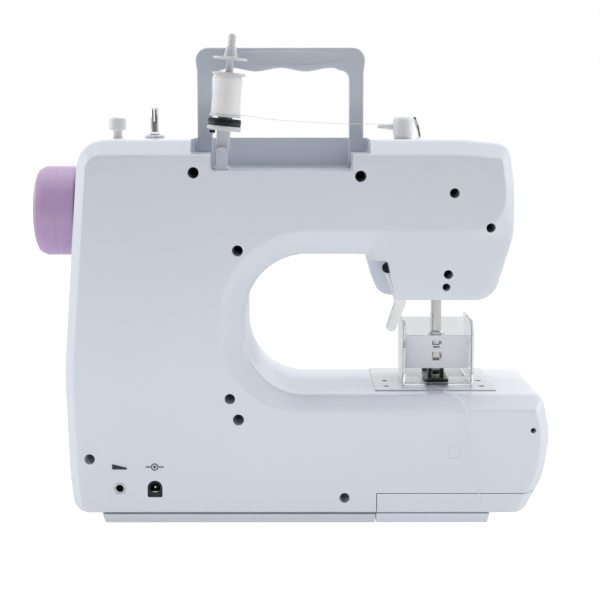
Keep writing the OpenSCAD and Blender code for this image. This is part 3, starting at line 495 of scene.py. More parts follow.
WHITE = finish("white_gloss", srgb(226, 231, 241), 0.2, tint=0.012, depth=0.00001)
LINER = finish("white_satin", srgb(218, 222, 229), 0.4, tint=0.015)
MILKY = finish("milky_plastic", srgb(214, 216, 220), 0.25, tint=0.015, Subsurface_Weight=0.3,
        Subsurface_Scale=0.002)
BRIGHT = finish("bright_white_plastic", srgb(247, 247, 248), 0.25, tint=0.01)
LILAC = finish("lilac_gloss", srgb(188, 160, 200), 0.24, tint=0.02)
GREY = finish("blue_grey_satin", srgb(200, 206, 217), 0.34, tint=0.02, grain=1400)
PLATE = finish("pale_grey_moulding", srgb(236, 238, 244), 0.22, tint=0.015)
CLEAR = clear_plastic()
DARK = finish("black_plastic", srgb(26, 27, 32), 0.38, tint=0.12)
INK = finish("printed_ink", srgb(52, 56, 66), 0.6, tint=0.1)
RUBBER = finish("black_rubber", srgb(24, 24, 26), 0.75, tint=0.15, grain=600, depth=0.00008)
CHROME = finish("chrome_plate", srgb(214, 213, 211), 0.09, metal=1, tint=0.03, depth=0.000004)
BLACKED = finish("blacked_steel", srgb(46, 48, 54), 0.32, metal=1, tint=0.12)
STEEL = finish("brushed_steel", srgb(188, 189, 192), 0.28, metal=1, tint=0.05, stretch=(0.05, 1, 1))
BUFFED = finish("satin_plate", srgb(222, 223, 226), 0.3, metal=0.25, tint=0.02, grain=500,
        stretch=(1, 0.06, 1))
ALLOY = finish("cast_alloy", srgb(172, 174, 178), 0.5, metal=0.85, tint=0.08, grain=350, depth=0.00015)
BRONZE = finish("sintered_bronze", srgb(184, 134, 76), 0.42, metal=1, tint=0.12, grain=1200, depth=0.00005)
NYLON = finish("natural_nylon", srgb(226, 222, 208), 0.45, tint=0.03, Subsurface_Weight=0.15,
        Subsurface_Scale=0.002)
THREAD = wound_fibre()
BOARD = board_finish()
LAMP = finish("lamp_glass", srgb(250, 242, 214), 0.15, tint=0.03, Coat_Weight=0.5)
COPPER = finish("contact_metal", srgb(206, 204, 198), 0.18, metal=1, tint=0.05)


# ======== Casing ========

def long_sides_divided(outer, inner, step=8):
    """Adds points along the long sides of two matched outlines."""
    pairs = list(zip(outer, inner))
    divided = []
    for (a, b), (c, d) in zip(pairs, pairs[1:] + pairs[:1]):
        n = max(1, math.ceil(max(abs(c - a), abs(d - b)) / step))
        divided += [(a + (c - a) * k / n, b + (d - b) * k / n) for k in range(n)]
    return [p for p, q in divided], [q for p, q in divided]


def casing_outlines():
    """The casing's silhouette and the inner edge of its slanted band, point for point."""
    outer = outline(CORNERS)
    points = [complex(c[0], c[1]) for c in CORNERS]
    after = points[1:] + points[:1]
    moved = []
    for i, c in enumerate(CORNERS):
        u, v = unit(points[i] - points[i - 1]), unit(after[i] - points[i])
        p = points[i] + 1j * u * CORNERS[i - 1][4]
        q = points[i] + 1j * v * c[4]
        moved.append(p + u * ((q - p).conjugate() * v).imag / (u.conjugate() * v).imag)
    moved[FOLD_CORNER] = complex(moved[FOLD_CORNER].real, FOLD_Z)
    inner = []
    for i, c in enumerate(CORNERS):
        if i in FOLD_SPANS:
            x0, x1 = FOLD_SPANS[i]
            inner += [complex(x0 + (x1 - x0) * k / c[3], FOLD_Z) for k in range(c[3] + 1)]
            continue
        before, ahead = moved[i - 1], moved[(i + 1) % len(moved)]
        if i - 1 in FOLD_SPANS:
            before = complex(-30, FOLD_Z)
        if i == FOLD_CORNER:
            ahead = complex(0, FOLD_Z)
        turn = cmath.phase((ahead - moved[i]) / (moved[i] - before))
        mean = (CORNERS[i - 1][4] + c[4]) / 2
        radius = FOLD_RADIUS if i == FOLD_CORNER else max(1.5, c[2] - math.copysign(mean, turn))
        inner += fillet(before, moved[i], ahead, radius, c[3])
    return long_sides_divided(outer, inner)


OUTER, INNER = casing_outlines()


def band_rows(depth):
    """Profile from the parting plane to the face: share of the band, inset and depth."""
    rows = [(0, 0.3, 0), (0, 0.1, 0.15), (0, 0, 0.45)]

    def bent(a, b, c, steps=6):
        return [tuple((1 - t) ** 2 * p + 2 * t * (1 - t) * q + t * t * r for p, q, r in zip(a, b, c))
                for t in [k / steps for k in range(steps + 1)]]

    rows += bent((0, 0, depth - BEVEL - 2.2), (0, 0, depth - BEVEL), (0.16, 0, depth - BEVEL * 0.84))
    rows += [(0.16 + 0.72 * k / 8, 0, depth - BEVEL * (0.84 - 0.72 * k / 8)) for k in range(1, 8)]
    rows += bent((0.88, 0, depth - BEVEL * 0.12), (1, 0, depth), (1, 1.2, depth))
    return rows


def casing_rings(rows, side):
    """Rings for rows of share, inset and depth; side is 1 for the rear half and -1 for the front."""
    return [[(p.real, side * depth, p.imag)
             for p in inset([p + (q - p) * share for p, q in zip(OUTER, INNER)], distance)]
            for share, distance, depth in rows]


def half_solid(name, depth, side, shrink):
    """Full solid of one casing half, a little smaller all round."""
    rows = [(a, max(b, shrink), max(0, d - shrink)) for a, b, d in band_rows(depth)]
    return skin(name, casing_rings(rows, side))


def half_shell(name, depth, side):
    """The same half as a thin wall, open at the parting plane."""
    inside = [(0, WALL, 0), (0, WALL, depth - BEVEL - 1), (0.5, WALL * 0.8, depth - BEVEL * 0.5 - WALL),
              (1, 1, depth - WALL)]
    outer = casing_rings(band_rows(depth), side)
    inner = casing_rings(inside, side)
    n, m, k = len(outer[0]), len(outer), len(inner)
    verts = [p for ring in outer + inner for p in ring]
    faces = []
    for j in [*range(m - 1), *range(m, m + k - 1)]:
        faces += [(j * n + i, j * n + (i + 1) % n, (j + 1) * n + (i + 1) % n, (j + 1) * n + i)
                for i in range(n)]
    faces += [(i, (i + 1) % n, m * n + (i + 1) % n, m * n + i) for i in range(n)]
    faces += [tuple(range((m - 1) * n, m * n)), tuple(range((m + k - 1) * n, (m + k) * n))]
    return build(name, verts, faces)


def rod(x, z, radius, y0, y1, rim=0.0):
    """Round cutter or boss along Y; a rim flares it out at its y1 end."""
    profile = [(0, y0), (radius, y0), (radius, y1)]
    if rim:
        profile = [(0, y0), (radius, y0), (radius, y1 - rim), (radius + rim * 0.35, y1 - rim * 0.35),
                   (radius + rim, y1), (radius + rim, y1 + 3)]
    return turned("rod", profile + [(0, profile[-1][1])], "y", x, z, 40)


def flutes(x, z, reach, radius, count, y0, y1):
    """Round grooves at even angles round a knob."""
    turns = [2 * math.pi * k / count for k in range(count)]
    return joined("flutes", [rod(x + reach * math.cos(t), z + reach * math.sin(t), radius, y0, y1)
            for t in turns])


def well_depth(x, z):
    """Depth of the outer surface at a well: the head's lower part slants."""
    if x < -60 and z < FOLD_Z:
        return REAR_Y - BEVEL * (FOLD_Z - z) / (FOLD_Z - HEAD_Z)
    return REAR_Y


def recess_space(front, back):
    """Space of the handle's recess, with rounded inner edges."""
    return [slab("slot", SLOT_X, (front, back), (SLOT_Z, TOP_Z + 6), 1.2),
            slab("deep", RECESS_X, (front, back), (RECESS_Z, TOP_Z + 6), 1.8)]


def arm_openings():
    """Openings where the handle's arms go down."""
    back = span("carry_handle")[1].y + GAP
    return [slab("arm", x, (-2, back), (RECESS_Z - 12, SLOT_Z + 2), 0.5)
            for x in ((52.4, 61.5 + GAP), (-31.9, -23.2 + GAP))]


def notch(grow):
    """The lifter's notch in the head's lower corner."""
    return outline([(-28 + grow, 147.4 + grow, 2, 4), (-43.3 - grow, 147.4 + grow, 2.5, 5),
                    (-49.8 - grow, 117, 1, 2), (-28 + grow, 117, 1, 2)])


def drawer_space(side):
    """Everything beyond the drawer's seams; side moves them outwards."""
    return slab("drawer_space", (-160, SEAM_X + side), (-70, 70), (-6, SEAM_Z + side), 0)


def linings(recess_reach, drawer_reach):
    """Walls round the handle's recess and along the drawer's seams, inside one half of the casing."""
    t = LINING
    boxes = [
        ((SLOT_X[0] - t, SLOT_X[1] + t), recess_reach, (SLOT_Z - t, TOP_Z + 5)),
        ((RECESS_X[0] - t, RECESS_X[1] + t), recess_reach, (RECESS_Z - t, SLOT_Z)),
        ((-131, SEAM_X + t), drawer_reach, (SEAM_Z, SEAM_Z + 2)),
        ((SEAM_X, SEAM_X + t), drawer_reach, (FLOOR_Z - 1, SEAM_Z + 1)),
    ]
    return [slab("lining", *box, 0) for box in boxes]


def lined_half(name, depth, side, fittings):
    """One casing half with its linings and bosses, which end just under the outer skin."""
    shell = half_shell(name, depth, side)
    limit = half_solid("limit", depth, side, 0.8)
    inside = combine(fittings[0], fittings[1:], "UNION")
    return combine(shell, [combine(inside, [limit], "INTERSECT")], "UNION")


def shared_openings():
    """Ways for the bars and for the needle plate, which the parting plane crosses."""
    return [slab("bars", (-82, -64), (-14, 13), around(HEAD_Z, 4), 1),
            slab("plate", (-105.4, SEAM_X + 0.1), (-39, 30), around(BED_Z, 4), 0.6)]


def rear_shell():
    bosses = [rod(x, z, r + 1.6, floor, REAR_Y + 5) for x, z, r, floor in WELLS]
    walls = linings((0.6, 60), (0.6, 60)) + [prism("lining", notch(2), 13.8, 60, edge=0)]
    shell = lined_half("rear_shell", REAR_Y, 1, walls + bosses)
    cutters = recess_space(-6, REAR_Y + 8) + arm_openings()
    swing = outline([(-28, 147.4, 1, 2), (-49.4, 147.4, 2, 4), (-58.2, 117, 1, 2), (-28, 117, 1, 2)])
    cutters += [prism("notch", notch(0), 16, 70, edge=1.2), prism("swing", swing, 19.8, 28.2, edge=0.5),
                drawer_space(0)]
    for x, z, r, floor in WELLS:
        cutters += [rod(x, z, r, floor + 3, well_depth(x, z), 0.35), rod(x, z, 1.5, floor - 2, REAR_Y)]
    cutters += shared_openings() + [
        prism("inlet", power_outline(0.1), REAR_Y - 5, REAR_Y + 2, edge=0),
        rod(PEDAL[0], PEDAL[1], 3, REAR_Y - 5, REAR_Y, 0.3),
        drill("winder", 3.4, (TOP_Z - 8, TOP_Z + 2), "z", *WINDER),
        drill("lamp", 2.65, (HEAD_Z - 3, HEAD_Z + 4), "z", -85, 20),
    ]
    combine(shell, cutters)
    mark = turned("mark", [(3.15, REAR_Y - 0.25), (3.3, REAR_Y - 0.3), (3.45, REAR_Y - 0.25),
            (3.5, REAR_Y + 1), (3.1, REAR_Y + 1)], "y", -80, 42.4, bored=True)
    combine(shell, [mark])
    return piece(shell, "machine", WHITE, "white_plastic", "rear_casing")


def front_shell():
    bosses = [rod(x, z, 3.8, -60, -GAP - 0.5) for x, z, r, floor in WELLS if floor == DEEP]
    bosses += [rod(*DIAL, 6, FRONT_Y, FRONT_Y + 9), rod(*TENSION, 5, FRONT_Y, FRONT_Y + 9)]
    walls = linings((RECESS_FRONT - LINING, -0.6), (-60, -0.6))
    shell = lined_half("front_shell", -FRONT_Y, -1, walls + bosses)
    cutters = recess_space(RECESS_FRONT, 8) + [drawer_space(0)]
    cutters += [rod(x, z, 1.5, -12, 2) for x, z, r, floor in WELLS if floor == DEEP]
    cutters += shared_openings() + [
        drill("shaft", 5, (118, 140), "x", SHAFT_Y, SHAFT_Z),
        rod(*DIAL, 4.1, FRONT_Y - 3, FRONT_Y + 12), rod(*TENSION, 3.1, FRONT_Y - 3, FRONT_Y + 12),
        slab("take_up_slot", (-68.6, -62.9), (FRONT_Y - 8, -27), (182, TOP_Z + 8), 1),
        slab("reverse_slot", (79, 89), around(FRONT_Y, 8), (42, 58), 1),
        slab("speed_slot", (4, 16), around(FRONT_Y, 8), (177.6, 182.4), 1),
        slab("light_slot", (-26, -14), around(FRONT_Y, 8), (177.6, 182.4), 1),
        slab("cover_groove", COVER_X, (FRONT_Y - 8, -38), (BED_Z - 1.3, BED_Z + 5), 0.3),
    ]
    combine(shell, cutters)
    return piece(shell, "machine", WHITE, "white_plastic", "front_casing")


def drawer():
    """Accessory drawer: the lower corner of the casing, hollow, with its own stretch of foot."""
    shell = combine(half_shell("drawer", REAR_Y, 1), [half_shell("front_part", -FRONT_Y, -1)], "UNION")
    combine(shell, [drawer_space(-GAP)], "INTERSECT")
    rim = span("accessory_drawer")[1].z
    tray = slab("tray", (-112, SEAM_X - GAP), (FRONT_Y + 2, REAR_Y - 2), (FLOOR_Z + 2.2, rim - 0.3), 0.4)
    hollow = slab("hollow", (-180, SEAM_X - GAP - 2), (FRONT_Y + 3.2, REAR_Y - 3.2), (FLOOR_Z + 2, rim + 2),
            2)
    combine(tray, [hollow])
    foot = foot_block("drawer_foot", (-101.2, SEAM_X - GAP), 1, FLOOR_Z + 0.3)
    combine(shell, [tray, foot], "UNION")
    return piece(shell, "drawer", WHITE, "white_plastic", "accessory_drawer")


def foot_block(name, x, seam, top):
    """Stretch of the casing's foot, narrower at the bottom, hollow underneath; it ends square at x[seam]."""
    long = (x[0] - 20 * (1 - seam), x[1] + 20 * seam)
    block = prism(name, rectangle(long, (-42, 44), 2.5), 0.8, top, "z", 0.4, 1.2)
    beyond = (x[1], x[1] + 30) if seam else (x[0] - 30, x[0])
    hollow = slab("hollow", (x[0] + 4, x[1] - 4), (-38, 40), (-3, top - 1.6), 0.6)
    return combine(block, [hollow, slab("beyond", beyond, (-60, 60), (-5, 20), 0)])


def foot():
    base = foot_block("foot_tray", (SEAM_X + 0.2, 114), 0, FLOOR_Z - FINE)
    piece(base, "machine", LINER, "white_plastic", "base_tray")
    profile = [(0, 0.5), (4, 0.5), (4.6, 0), (7.6, 0), (8, 0.4), (8, 3.6), (0, 3.6)]
    pads = [lathe("pad", profile, 0.4, "z", x, y, 48) for x, y in ((-24, -28), (-24, 30), (98, -28),
            (98, 30), (0, 0))]
    piece(joined("foot_pads", pads), "machine", RUBBER, "rubber", "rubber_feet")


def screw_head(x, z, radius, y0, y1, shank_y):
    """Domed head with a cross recess, facing +Y, on a shank."""
    head = lathe("head", [(0, shank_y), (1.4, shank_y), (1.4, y0), (radius, y0), (radius, y1 - 0.6),
            (radius * 0.6, y1), (0, y1)], 0.4, "y", x, z, 32)
    arms = [slab("arm", around(x, a), (y1 - 0.9, y1 + 1), around(z, b), 0.1)
            for a, b in ((radius * 0.52, 0.32), (0.32, radius * 0.52))]
    return combine(head, arms)


def well_screws():
    heads = [screw_head(x, z, r - 0.3, floor + 3 + FINE, floor + 4.8, -9 if floor == DEEP else floor - 3)
             for x, z, r, floor in WELLS]
    piece(joined("well_screws", heads), "machine", BLACKED, "black_chrome", "casing_screws")


# ======== Sewing bed ========

def slot_screw(x, y, z, radius):
    """Flush countersunk screw with a slot, facing up."""
    head = lathe("head", [(0, z - 1.2), (radius - 0.5, z - 1.2), (radius, z - 0.3), (radius, z), (0, z)],
                 0.15, "z", x, y, 32)
    return combine(head, [slab("slot", around(x, radius + 1), around(y, 0.25), (z - 0.4, z + 1), 0)])


def stitch_plate():
    low, high = span("needle_plate")
    spots = [(x, y) for x in (-98.4, -44.5) for y in (3, 19)]
    plate = slab("stitch_plate", (low.x, high.x), (low.y, high.y), (low.z, high.z), 0.25)
    cutters = [
        slab("needle_hole", around(NEEDLE_X, 1.2), (-9, -4.4), (low.z - 1, high.z + 1), 0.5),
        slab("cover_opening", COVER_X, (low.y - 3, -10.7), (low.z - 1, high.z + 1), 0.4),
    ]
    cutters += [slab("feed_slot", (x0, x1), (-5, 13), (low.z - 1, high.z + 1), 0.4)
                for x0, x1 in ((-80.4, -76.6), (-71, -67.2))]
    cutters += [slab("guide_line", (NEEDLE_X + s, NEEDLE_X + s + 0.25), (-8, 12),
            (high.z - 0.15, high.z + 1), 0) for s in (9, 13, 17, 21, 25, 29)]
    cutters += [turned("sink", [(0, high.z - 0.4), (1.7, high.z - 0.4), (1.9, high.z + 1), (0, high.z + 1)],
            "z", *spot, 32) for spot in spots]
    combine(plate, cutters)
    piece(plate, "machine", BUFFED, "steel", "needle_plate")
    screws = [slot_screw(*spot, high.z - 0.1, 1.5) for spot in spots]
    piece(joined("plate_screws", screws), "machine", BLACKED, "black_chrome")


def bobbin_cover():
    low, high = span("bobbin_cover")
    cover = slab("bobbin_window", (low.x, high.x), (low.y, high.y), (low.z, high.z - 0.4), 0.3)
    grips = [slab("grip", around(NEEDLE_X, 5), (y, y + 0.9), (high.z - 0.8, high.z), 0.2)
             for y in (-35.5, -33.5, -31.5)]
    piece(combine(cover, grips, "UNION"), "cover", CLEAR, "clear_plastic", "bobbin_cover")


# ======== Needle and foot ========

def round_bar(name, node, radius, y):
    """Plain round bar with chamfered ends, as long as its CAD node."""
    low, high = span(node)
    profile = [(0, low.z), (radius - 0.4, low.z), (radius, low.z + 0.5), (radius, high.z - 0.6),
               (radius - 0.6, high.z), (0, high.z)]
    return lathe(name, profile, 0.3, "z", NEEDLE_X, y, 48)


def bars():
    bar = round_bar("needle_rod", "needle_bar", 2.5, SHAFT_Y)
    stud_z = span("needle_bar")[0].z + 54.5
    block = slab("stud_block", (-78.2, -69.4), (SHAFT_Y - 5, SHAFT_Y + 4.4), around(stud_z, 3.4), 0.6)
    stud = lathe("stud", [(0, -70.5), (2.3, -70.5), (2.3, -66.4), (0, -66.1)], 0.3, "x", SHAFT_Y, stud_z, 32)
    combine(bar, [block, stud], "UNION")
    piece(bar, "needle_unit", CHROME, "chrome", "needle_bar")
    bar = round_bar("presser_rod", "presser_bar", 3, PRESSER_Y)
    collar = lathe("collar", [(1, 142), (4.8, 142), (4.8, 146), (1, 146)], 0.5, "z", NEEDLE_X, PRESSER_Y, 48)
    piece(combine(bar, [collar], "UNION"), "presser", CHROME, "chrome", "presser_bar")


def needle_clamp():
    foot_z = span("needle_bar")[0].z
    stem_z = foot_z + 2.5
    clamp = lathe("clamp_body", [(1.1, -1.5), (3.9, -1.5), (4.3, -0.8), (4.3, 6.2), (3.8, 7), (2.52, 7),
            (2.52, 0), (1.1, 0)], 0.3, "z", NEEDLE_X, SHAFT_Y, 48, bored=True, base=foot_z)
    stem = lathe("stem", [(0, -13.5), (2.2, -13.5), (2.8, -12.9), (2.8, -9.4), (2.3, -9), (1.4, -9),
            (1.4, -4), (0, -4)], 0.25, "x", SHAFT_Y, stem_z, 40, base=NEEDLE_X)
    grooves = []
    for k in range(16):
        t = 2 * math.pi * k / 16
        spot = Matrix.Translation((NEEDLE_X, SHAFT_Y + 2.8 * math.cos(t), stem_z + 2.8 * math.sin(t)))
        grooves.append(slab("groove", (-14, -9.5), (-0.22, 0.22), (-0.22, 0.22), 0, spot))
    combine(stem, [joined("grooves", grooves)])
    piece(joined("needle_clamp_screw", [clamp, stem]), "needle_unit", CHROME, "chrome", "needle_clamp")


def sewing_needle():
    top = span("needle_bar")[0].z
    tip = top - 30
    needle = lathe("sewing_needle", [(0, tip), (0.12, tip + 0.4), (0.45, tip + 4), (0.45, tip + 22),
            (0.9, tip + 24), (0.9, top - 0.4), (0.7, top - FINE), (0, top - FINE)], 0.3, "z", NEEDLE_X,
            SHAFT_Y, 24)
    eye = drill("eye", 0.16, (-9, -3), "y", NEEDLE_X, tip + 4.4, 12)
    groove = slab("groove", around(NEEDLE_X, 0.12), (SHAFT_Y - 1, SHAFT_Y - 0.3), (tip + 5, tip + 21), 0)
    flat = slab("flat", around(NEEDLE_X, 2), (SHAFT_Y + 0.6, SHAFT_Y + 2), (tip + 24.5, top + 1), 0)
    piece(combine(needle, [eye, groove, flat]), "needle_unit", CHROME, "chrome", "needle")


def foot_shank():
    """Shank on the presser bar, with its clamping screw."""
    y, z = PRESSER_Y, FOOT_PIN_Z
    shank = lathe("shank", [(0, 95), (4, 95), (4.6, 95.8), (4.6, 102.2), (4, 103), (3.02, 103), (3.02, 97),
            (0, 97)], 0.3, "z", NEEDLE_X, y, 48)
    shape = outline([(1, z - 1.8, 1.2, 4), (y + 2.6, z - 1.8, 1.5, 4), (y + 4, z + 8, 2, 4),
            (y + 4, 96.5, 0.6, 3), (y - 3, 96.5, 0.6, 3), (y - 3, z + 4, 2, 4)])
    blade = prism("blade", shape, *around(NEEDLE_X, 2), "x", 0.4)
    knuckle = lathe("knuckle", [(0, -2), (2.6, -2), (2.6, 2), (0, 2)], 0.3, "x", y, z, 32, base=NEEDLE_X)
    combine(shank, [blade, knuckle], "UNION")
    combine(shank, [drill("hole", 1.05, around(NEEDLE_X, 4), "x", y, z, 24)])
    screw = lathe("foot_screw", [(0, 2), (1.2, 2), (1.2, 3), (3, 3), (3, 6.6), (2.6, 7.2), (0, 7.2)],
                  0.3, "x", y, 91, 32, base=NEEDLE_X)
    slot = slab("slot", (NEEDLE_X + 6.6, NEEDLE_X + 8), around(y, 4), (90.7, 91.3), 0)
    piece(joined("foot_shank", [shank, combine(screw, [slot])]), "presser", CHROME, "chrome", "foot_holder")


def snap_foot():
    """Forked sole with raised toes, hung on a pin between two cheeks."""
    y, z = PRESSER_Y, 74.4
    y0, y1, top = SHAFT_Y - 9, PRESSER_Y + 10.5, FOOT_PIN_Z + 2.6
    sole = prism("snap_foot", rectangle(around(NEEDLE_X, 6.5), (y0, y1), 1.6), z, z + 1.9, "z", 0.3)
    shape = outline([(y0 + 2.4, z + 1.9, 0.5, 3), (y0 - 1.6, z + 4.4, 0.5, 3), (y0 - 3, z + 3.4, 0.5, 3),
                     (y0 + 0.3, z + 0.3, 0.8, 3)])
    toes = prism("toes", shape, *around(NEEDLE_X, 6.2), "x", 0.3)
    shape = outline([(y + 3.2, z + 1, 0.4, 2), (y + 2.6, top, 2.2, 5), (y - 2.6, top, 2.2, 5),
                     (y - 3.2, z + 1, 0.4, 2)])
    cheeks = [prism("cheek", shape, *around(NEEDLE_X + s, 1), "x", 0.25) for s in (-3.4, 3.4)]
    combine(sole, [toes] + cheeks, "UNION")
    combine(sole, [slab("fork", around(NEEDLE_X, 1.6), (y0 - 8, SHAFT_Y + 3), (z - 2, z + 8), 0.8)])
    piece(sole, "foot", DARK, "black_chrome", "presser_foot")
    pin = lathe("foot_pin", [(0, -4.6), (0.8, -4.6), (1, -4.4), (1, 4.4), (0.8, 4.6), (0, 4.6)],
                0.2, "x", y, FOOT_PIN_Z, 24, base=NEEDLE_X)
    piece(pin, "foot", CHROME, "chrome")


def guard_carrier():
    """Windowed plate behind the presser bar, which holds the guard."""
    low, high = span("guard_bracket")
    y0, y1 = PRESSER_Y + 5, PRESSER_Y + 6.8
    plan = outline([(low.x, y1 - 3, 0.5, 2), (low.x + 1.3, y1 - 3, 0.5, 2), (low.x + 2.2, y0, 1, 4),
                    (high.x - 2.2, y0, 1, 4), (high.x - 1.3, y1 - 3, 0.5, 2), (high.x, y1 - 3, 0.5, 2),
                    (high.x, y1, 1.6, 5), (low.x, y1, 1.6, 5)])
    carrier = prism("guard_carrier", plan, low.z, high.z, "z", 0.4)
    hub = slab("hub", around(NEEDLE_X, 3.4), (PRESSER_Y + 3.8, PRESSER_Y + 5.6), (96, 101), 0.4)
    ribs = slab("rib", (low.x - 0.4, high.x + 0.4), (PRESSER_Y + 5.2, PRESSER_Y + 6.4), (94, 99), 0.3)
    combine(carrier, [hub, ribs], "UNION")
    cutters = [slab("window", around(NEEDLE_X, 2.8), (PRESSER_Y + 3, PRESSER_Y + 9), z, 0.3)
               for z in ((86.5, 91.5), (93.8, 97.8))]
    cutters.append(drill("bar_way", 4.65, (89, 104), "z", NEEDLE_X, PRESSER_Y, 40))
    piece(combine(carrier, cutters), "presser", PLATE, "blue_grey_plastic", "guard_bracket")


def finger_guard():
    """Clear guard round the needle."""
    low, high = span("finger_guard")
    side = outline([(low.y, low.z, 0.6, 2), (high.y, low.z, 3, 5), (high.y, high.z - 7, 1, 3),
                    (high.y - 7, high.z, 1, 3), (low.y, high.z, 3, 5)])
    walls = [prism("guard", side, x, x + 1.5, "x", 0.3) for x in (low.x, high.x - 1.5)]
    front = slab("front", (low.x + 0.9, high.x - 0.9), (low.y, low.y + 1.5), (low.z + 10, high.z - 3), 0.3)
    ledge = slab("ledge", (low.x + 0.9, high.x - 0.9), (high.y - 1.5, high.y), (low.z, low.z + 1.2), 0.3)
    guard = combine(walls[0], [front, ledge, walls[1]], "UNION")
    guard.name = "clear_guard"
    piece(guard, "presser", CLEAR, "clear_plastic", "finger_guard")


def take_up():
    """Chromed leaf with a curled top and an eye, on a pressed hub."""
    y, z = TAKE_UP
    profile = outline([(y + 4, z - 4, 3.5, 6), (y + 4, z + 5, 3, 4), (-35.5, 218, 6, 4), (-35, 225.4, 3, 6),
            (-41.5, 225.4, 3, 6), (-42.5, 216, 6, 4), (y - 4, z + 2, 8, 4), (y - 4, z - 4, 3.5, 6)])
    leaf = prism("take_up_leaf", profile, -66.6, -65, "x", 0.35)
    hub = lathe("hub", [(0, -68.4), (4, -68.4), (4, -64.2), (0, -64.2)], 0.4, "x", y, z, 40)
    combine(leaf, [hub], "UNION")
    holes = [drill("hole", r, (-75, -55), "x", a, b, 32)
             for a, b, r in ((y, z, 2.05), (-38.4, 220, 1.7))]
    combine(leaf, holes)
    bm = bmesh.new()
    bm.from_mesh(leaf.data)
    long_edges = [e for e in bm.edges if e.calc_length() > 4 * MM]
    bmesh.ops.subdivide_edges(bm, edges=long_edges, cuts=8, use_grid_fill=True)
    bmesh.ops.triangulate(bm, faces=bm.faces)
    for v in bm.verts:
        rise = max(0.0, v.co.z / MM - 204) / 21.4
        v.co.x += (3.2 * rise * rise - 1.1 * math.sin(math.pi * min(1, rise))) * MM
    bm.to_mesh(leaf.data)
    bm.free()
    piece(leaf, "take_up", CHROME, "chrome", "take_up_lever")


def lifter():
    x, z = LIFTER
    shape = outline([(x + 3.6, z + 3.6, 3, 6), (x - 4, z + 3.6, 3, 6), (-54.9, 121.5, 3, 5),
            (-48.6, 105.2, 2.5, 6), (-43, 106.2, 2.5, 6), (-48.3, 122.5, 3, 5)])
    lever = prism("lift_lever", shape, 20.5, 27.5, edge=1.3)
    combine(lever, [rod(x, z, 1.75, 15, 32)])
    piece(lever, "lifter", BRIGHT, "white_plastic", "presser_lifter")
    pin = lathe("lift_pin", [(0, 15.9), (1.7, 15.9), (1.7, 28), (3, 28), (3, 29.2), (2, 30), (0, 30)], 0.3,
            "y", x, z, 32)
    combine(pin, [slab("slot", around(x, 4), (29.3, 31), around(z, 0.3), 0)])
    piece(pin, "machine", BLACKED, "black_chrome", "lifter_pin")


# ======== Handwheel, winder and thread guide ========

def handwheel():
    low, high = span("handwheel")
    r, end = (high.z - low.z) / 2, high.x
    profile = soft([
        (4, 140), (8, 140), (8, 149), (r - 3, 149), (r - 3, low.x), (r - 0.8, low.x), (r, low.x + 0.8),
        (r, end - 13.5), (r - 0.25, end - 13.2), (r - 0.25, end - 12.8), (r, end - 12.5), (r, end - 5.5),
        (r - 1.7, end - 1.7), (r - 5.5, end), (r - 8.6, end - 0.3), (r - 11.5, end - 2), (6, end - 2.4),
        (5.4, end - 2.9), (4.8, end - 2.4), (0, end - 2),
    ], 3.2, 6)
    wheel = turned("handwheel_rim", [(0, 140)] + profile[1:], "x", SHAFT_Y, SHAFT_Z, 128)
    bore = drill("bore", 4, (118, 147), "x", SHAFT_Y, SHAFT_Z, 48)
    piece(combine(wheel, [bore]), "drive", LILAC, "lilac_plastic", "handwheel")


def winder():
    x, y = WINDER
    socket = [(2.46, -9), (3.3, -9), (3.3, FINE), (5.6, FINE), (5.6, 1), (4.6, 1.8), (2.46, 1.8)]
    base = lathe("winder_socket", socket, 0.4, "z", x, y, 48, bored=True, base=TOP_Z)
    piece(base, "machine", WHITE, "white_plastic", "winder_base")
    high = span("winder_spindle")[1].z
    end = high - TOP_Z
    profile = [(0, -12), (2.4, -12), (2.4, 1.9), (3.2, 1.9), (3.2, 2.4), (2.4, 3.4)]
    profile += [(2.4, end - 1.4), (2.2, end - 1.2), (2.4, end - 0.9), (1.8, end), (0, end)]
    spindle = lathe("winder_pin", profile, 0.3, "z", x, y, 48, base=TOP_Z)
    slit = slab("slit", around(x, 0.35), around(y, 4), (high - 8, high + 1), 0)
    piece(combine(spindle, [slit]), "winder", CHROME, "chrome", "winder_spindle")


def winder_stop():
    profile = [(0, TOP_Z + FINE), (3.2, TOP_Z + FINE), (2.6, TOP_Z + 1), (2.6, 217)]
    profile += [(4.6, 217), (4.9, 218), (4.9, 223.2), (4.2, 224), (0, 224)]
    stop = lathe("winder_cap", profile, 0.5, "z", WINDER_STOP_X, WINDER[1], 48)
    piece(stop, "machine", BRIGHT, "white_plastic", "winder_stop")


def thread_guide():
    """Post with a thin stub, which points at the spool."""
    x, y = GUIDE
    high = span("thread_guide")[1].z
    profile = [(0, TOP_Z + FINE), (5, TOP_Z + FINE), (5, TOP_Z + 1.6), (5.65, TOP_Z + 2.4)]
    profile += [(5.65, high - 1.4), (5, high - 0.3), (4.4, high), (3.9, high - 0.4), (0, high - 0.5)]
    post = lathe("guide_post", profile, 0.5, "z", x, y, 64)
    profile = [(0, 3), (1.7, 3), (1.7, 9), (1.1, 9.5), (1.1, 13.2), (0.7, 14.1), (0, 14.1)]
    stub = lathe("stub", profile, 0.3, "x", y, GUIDE_STUB_Z, 32, base=x)
    piece(combine(post, [stub], "UNION"), "machine", BRIGHT, "white_plastic", "thread_guide")


# ======== Carry handle and spool pin ========

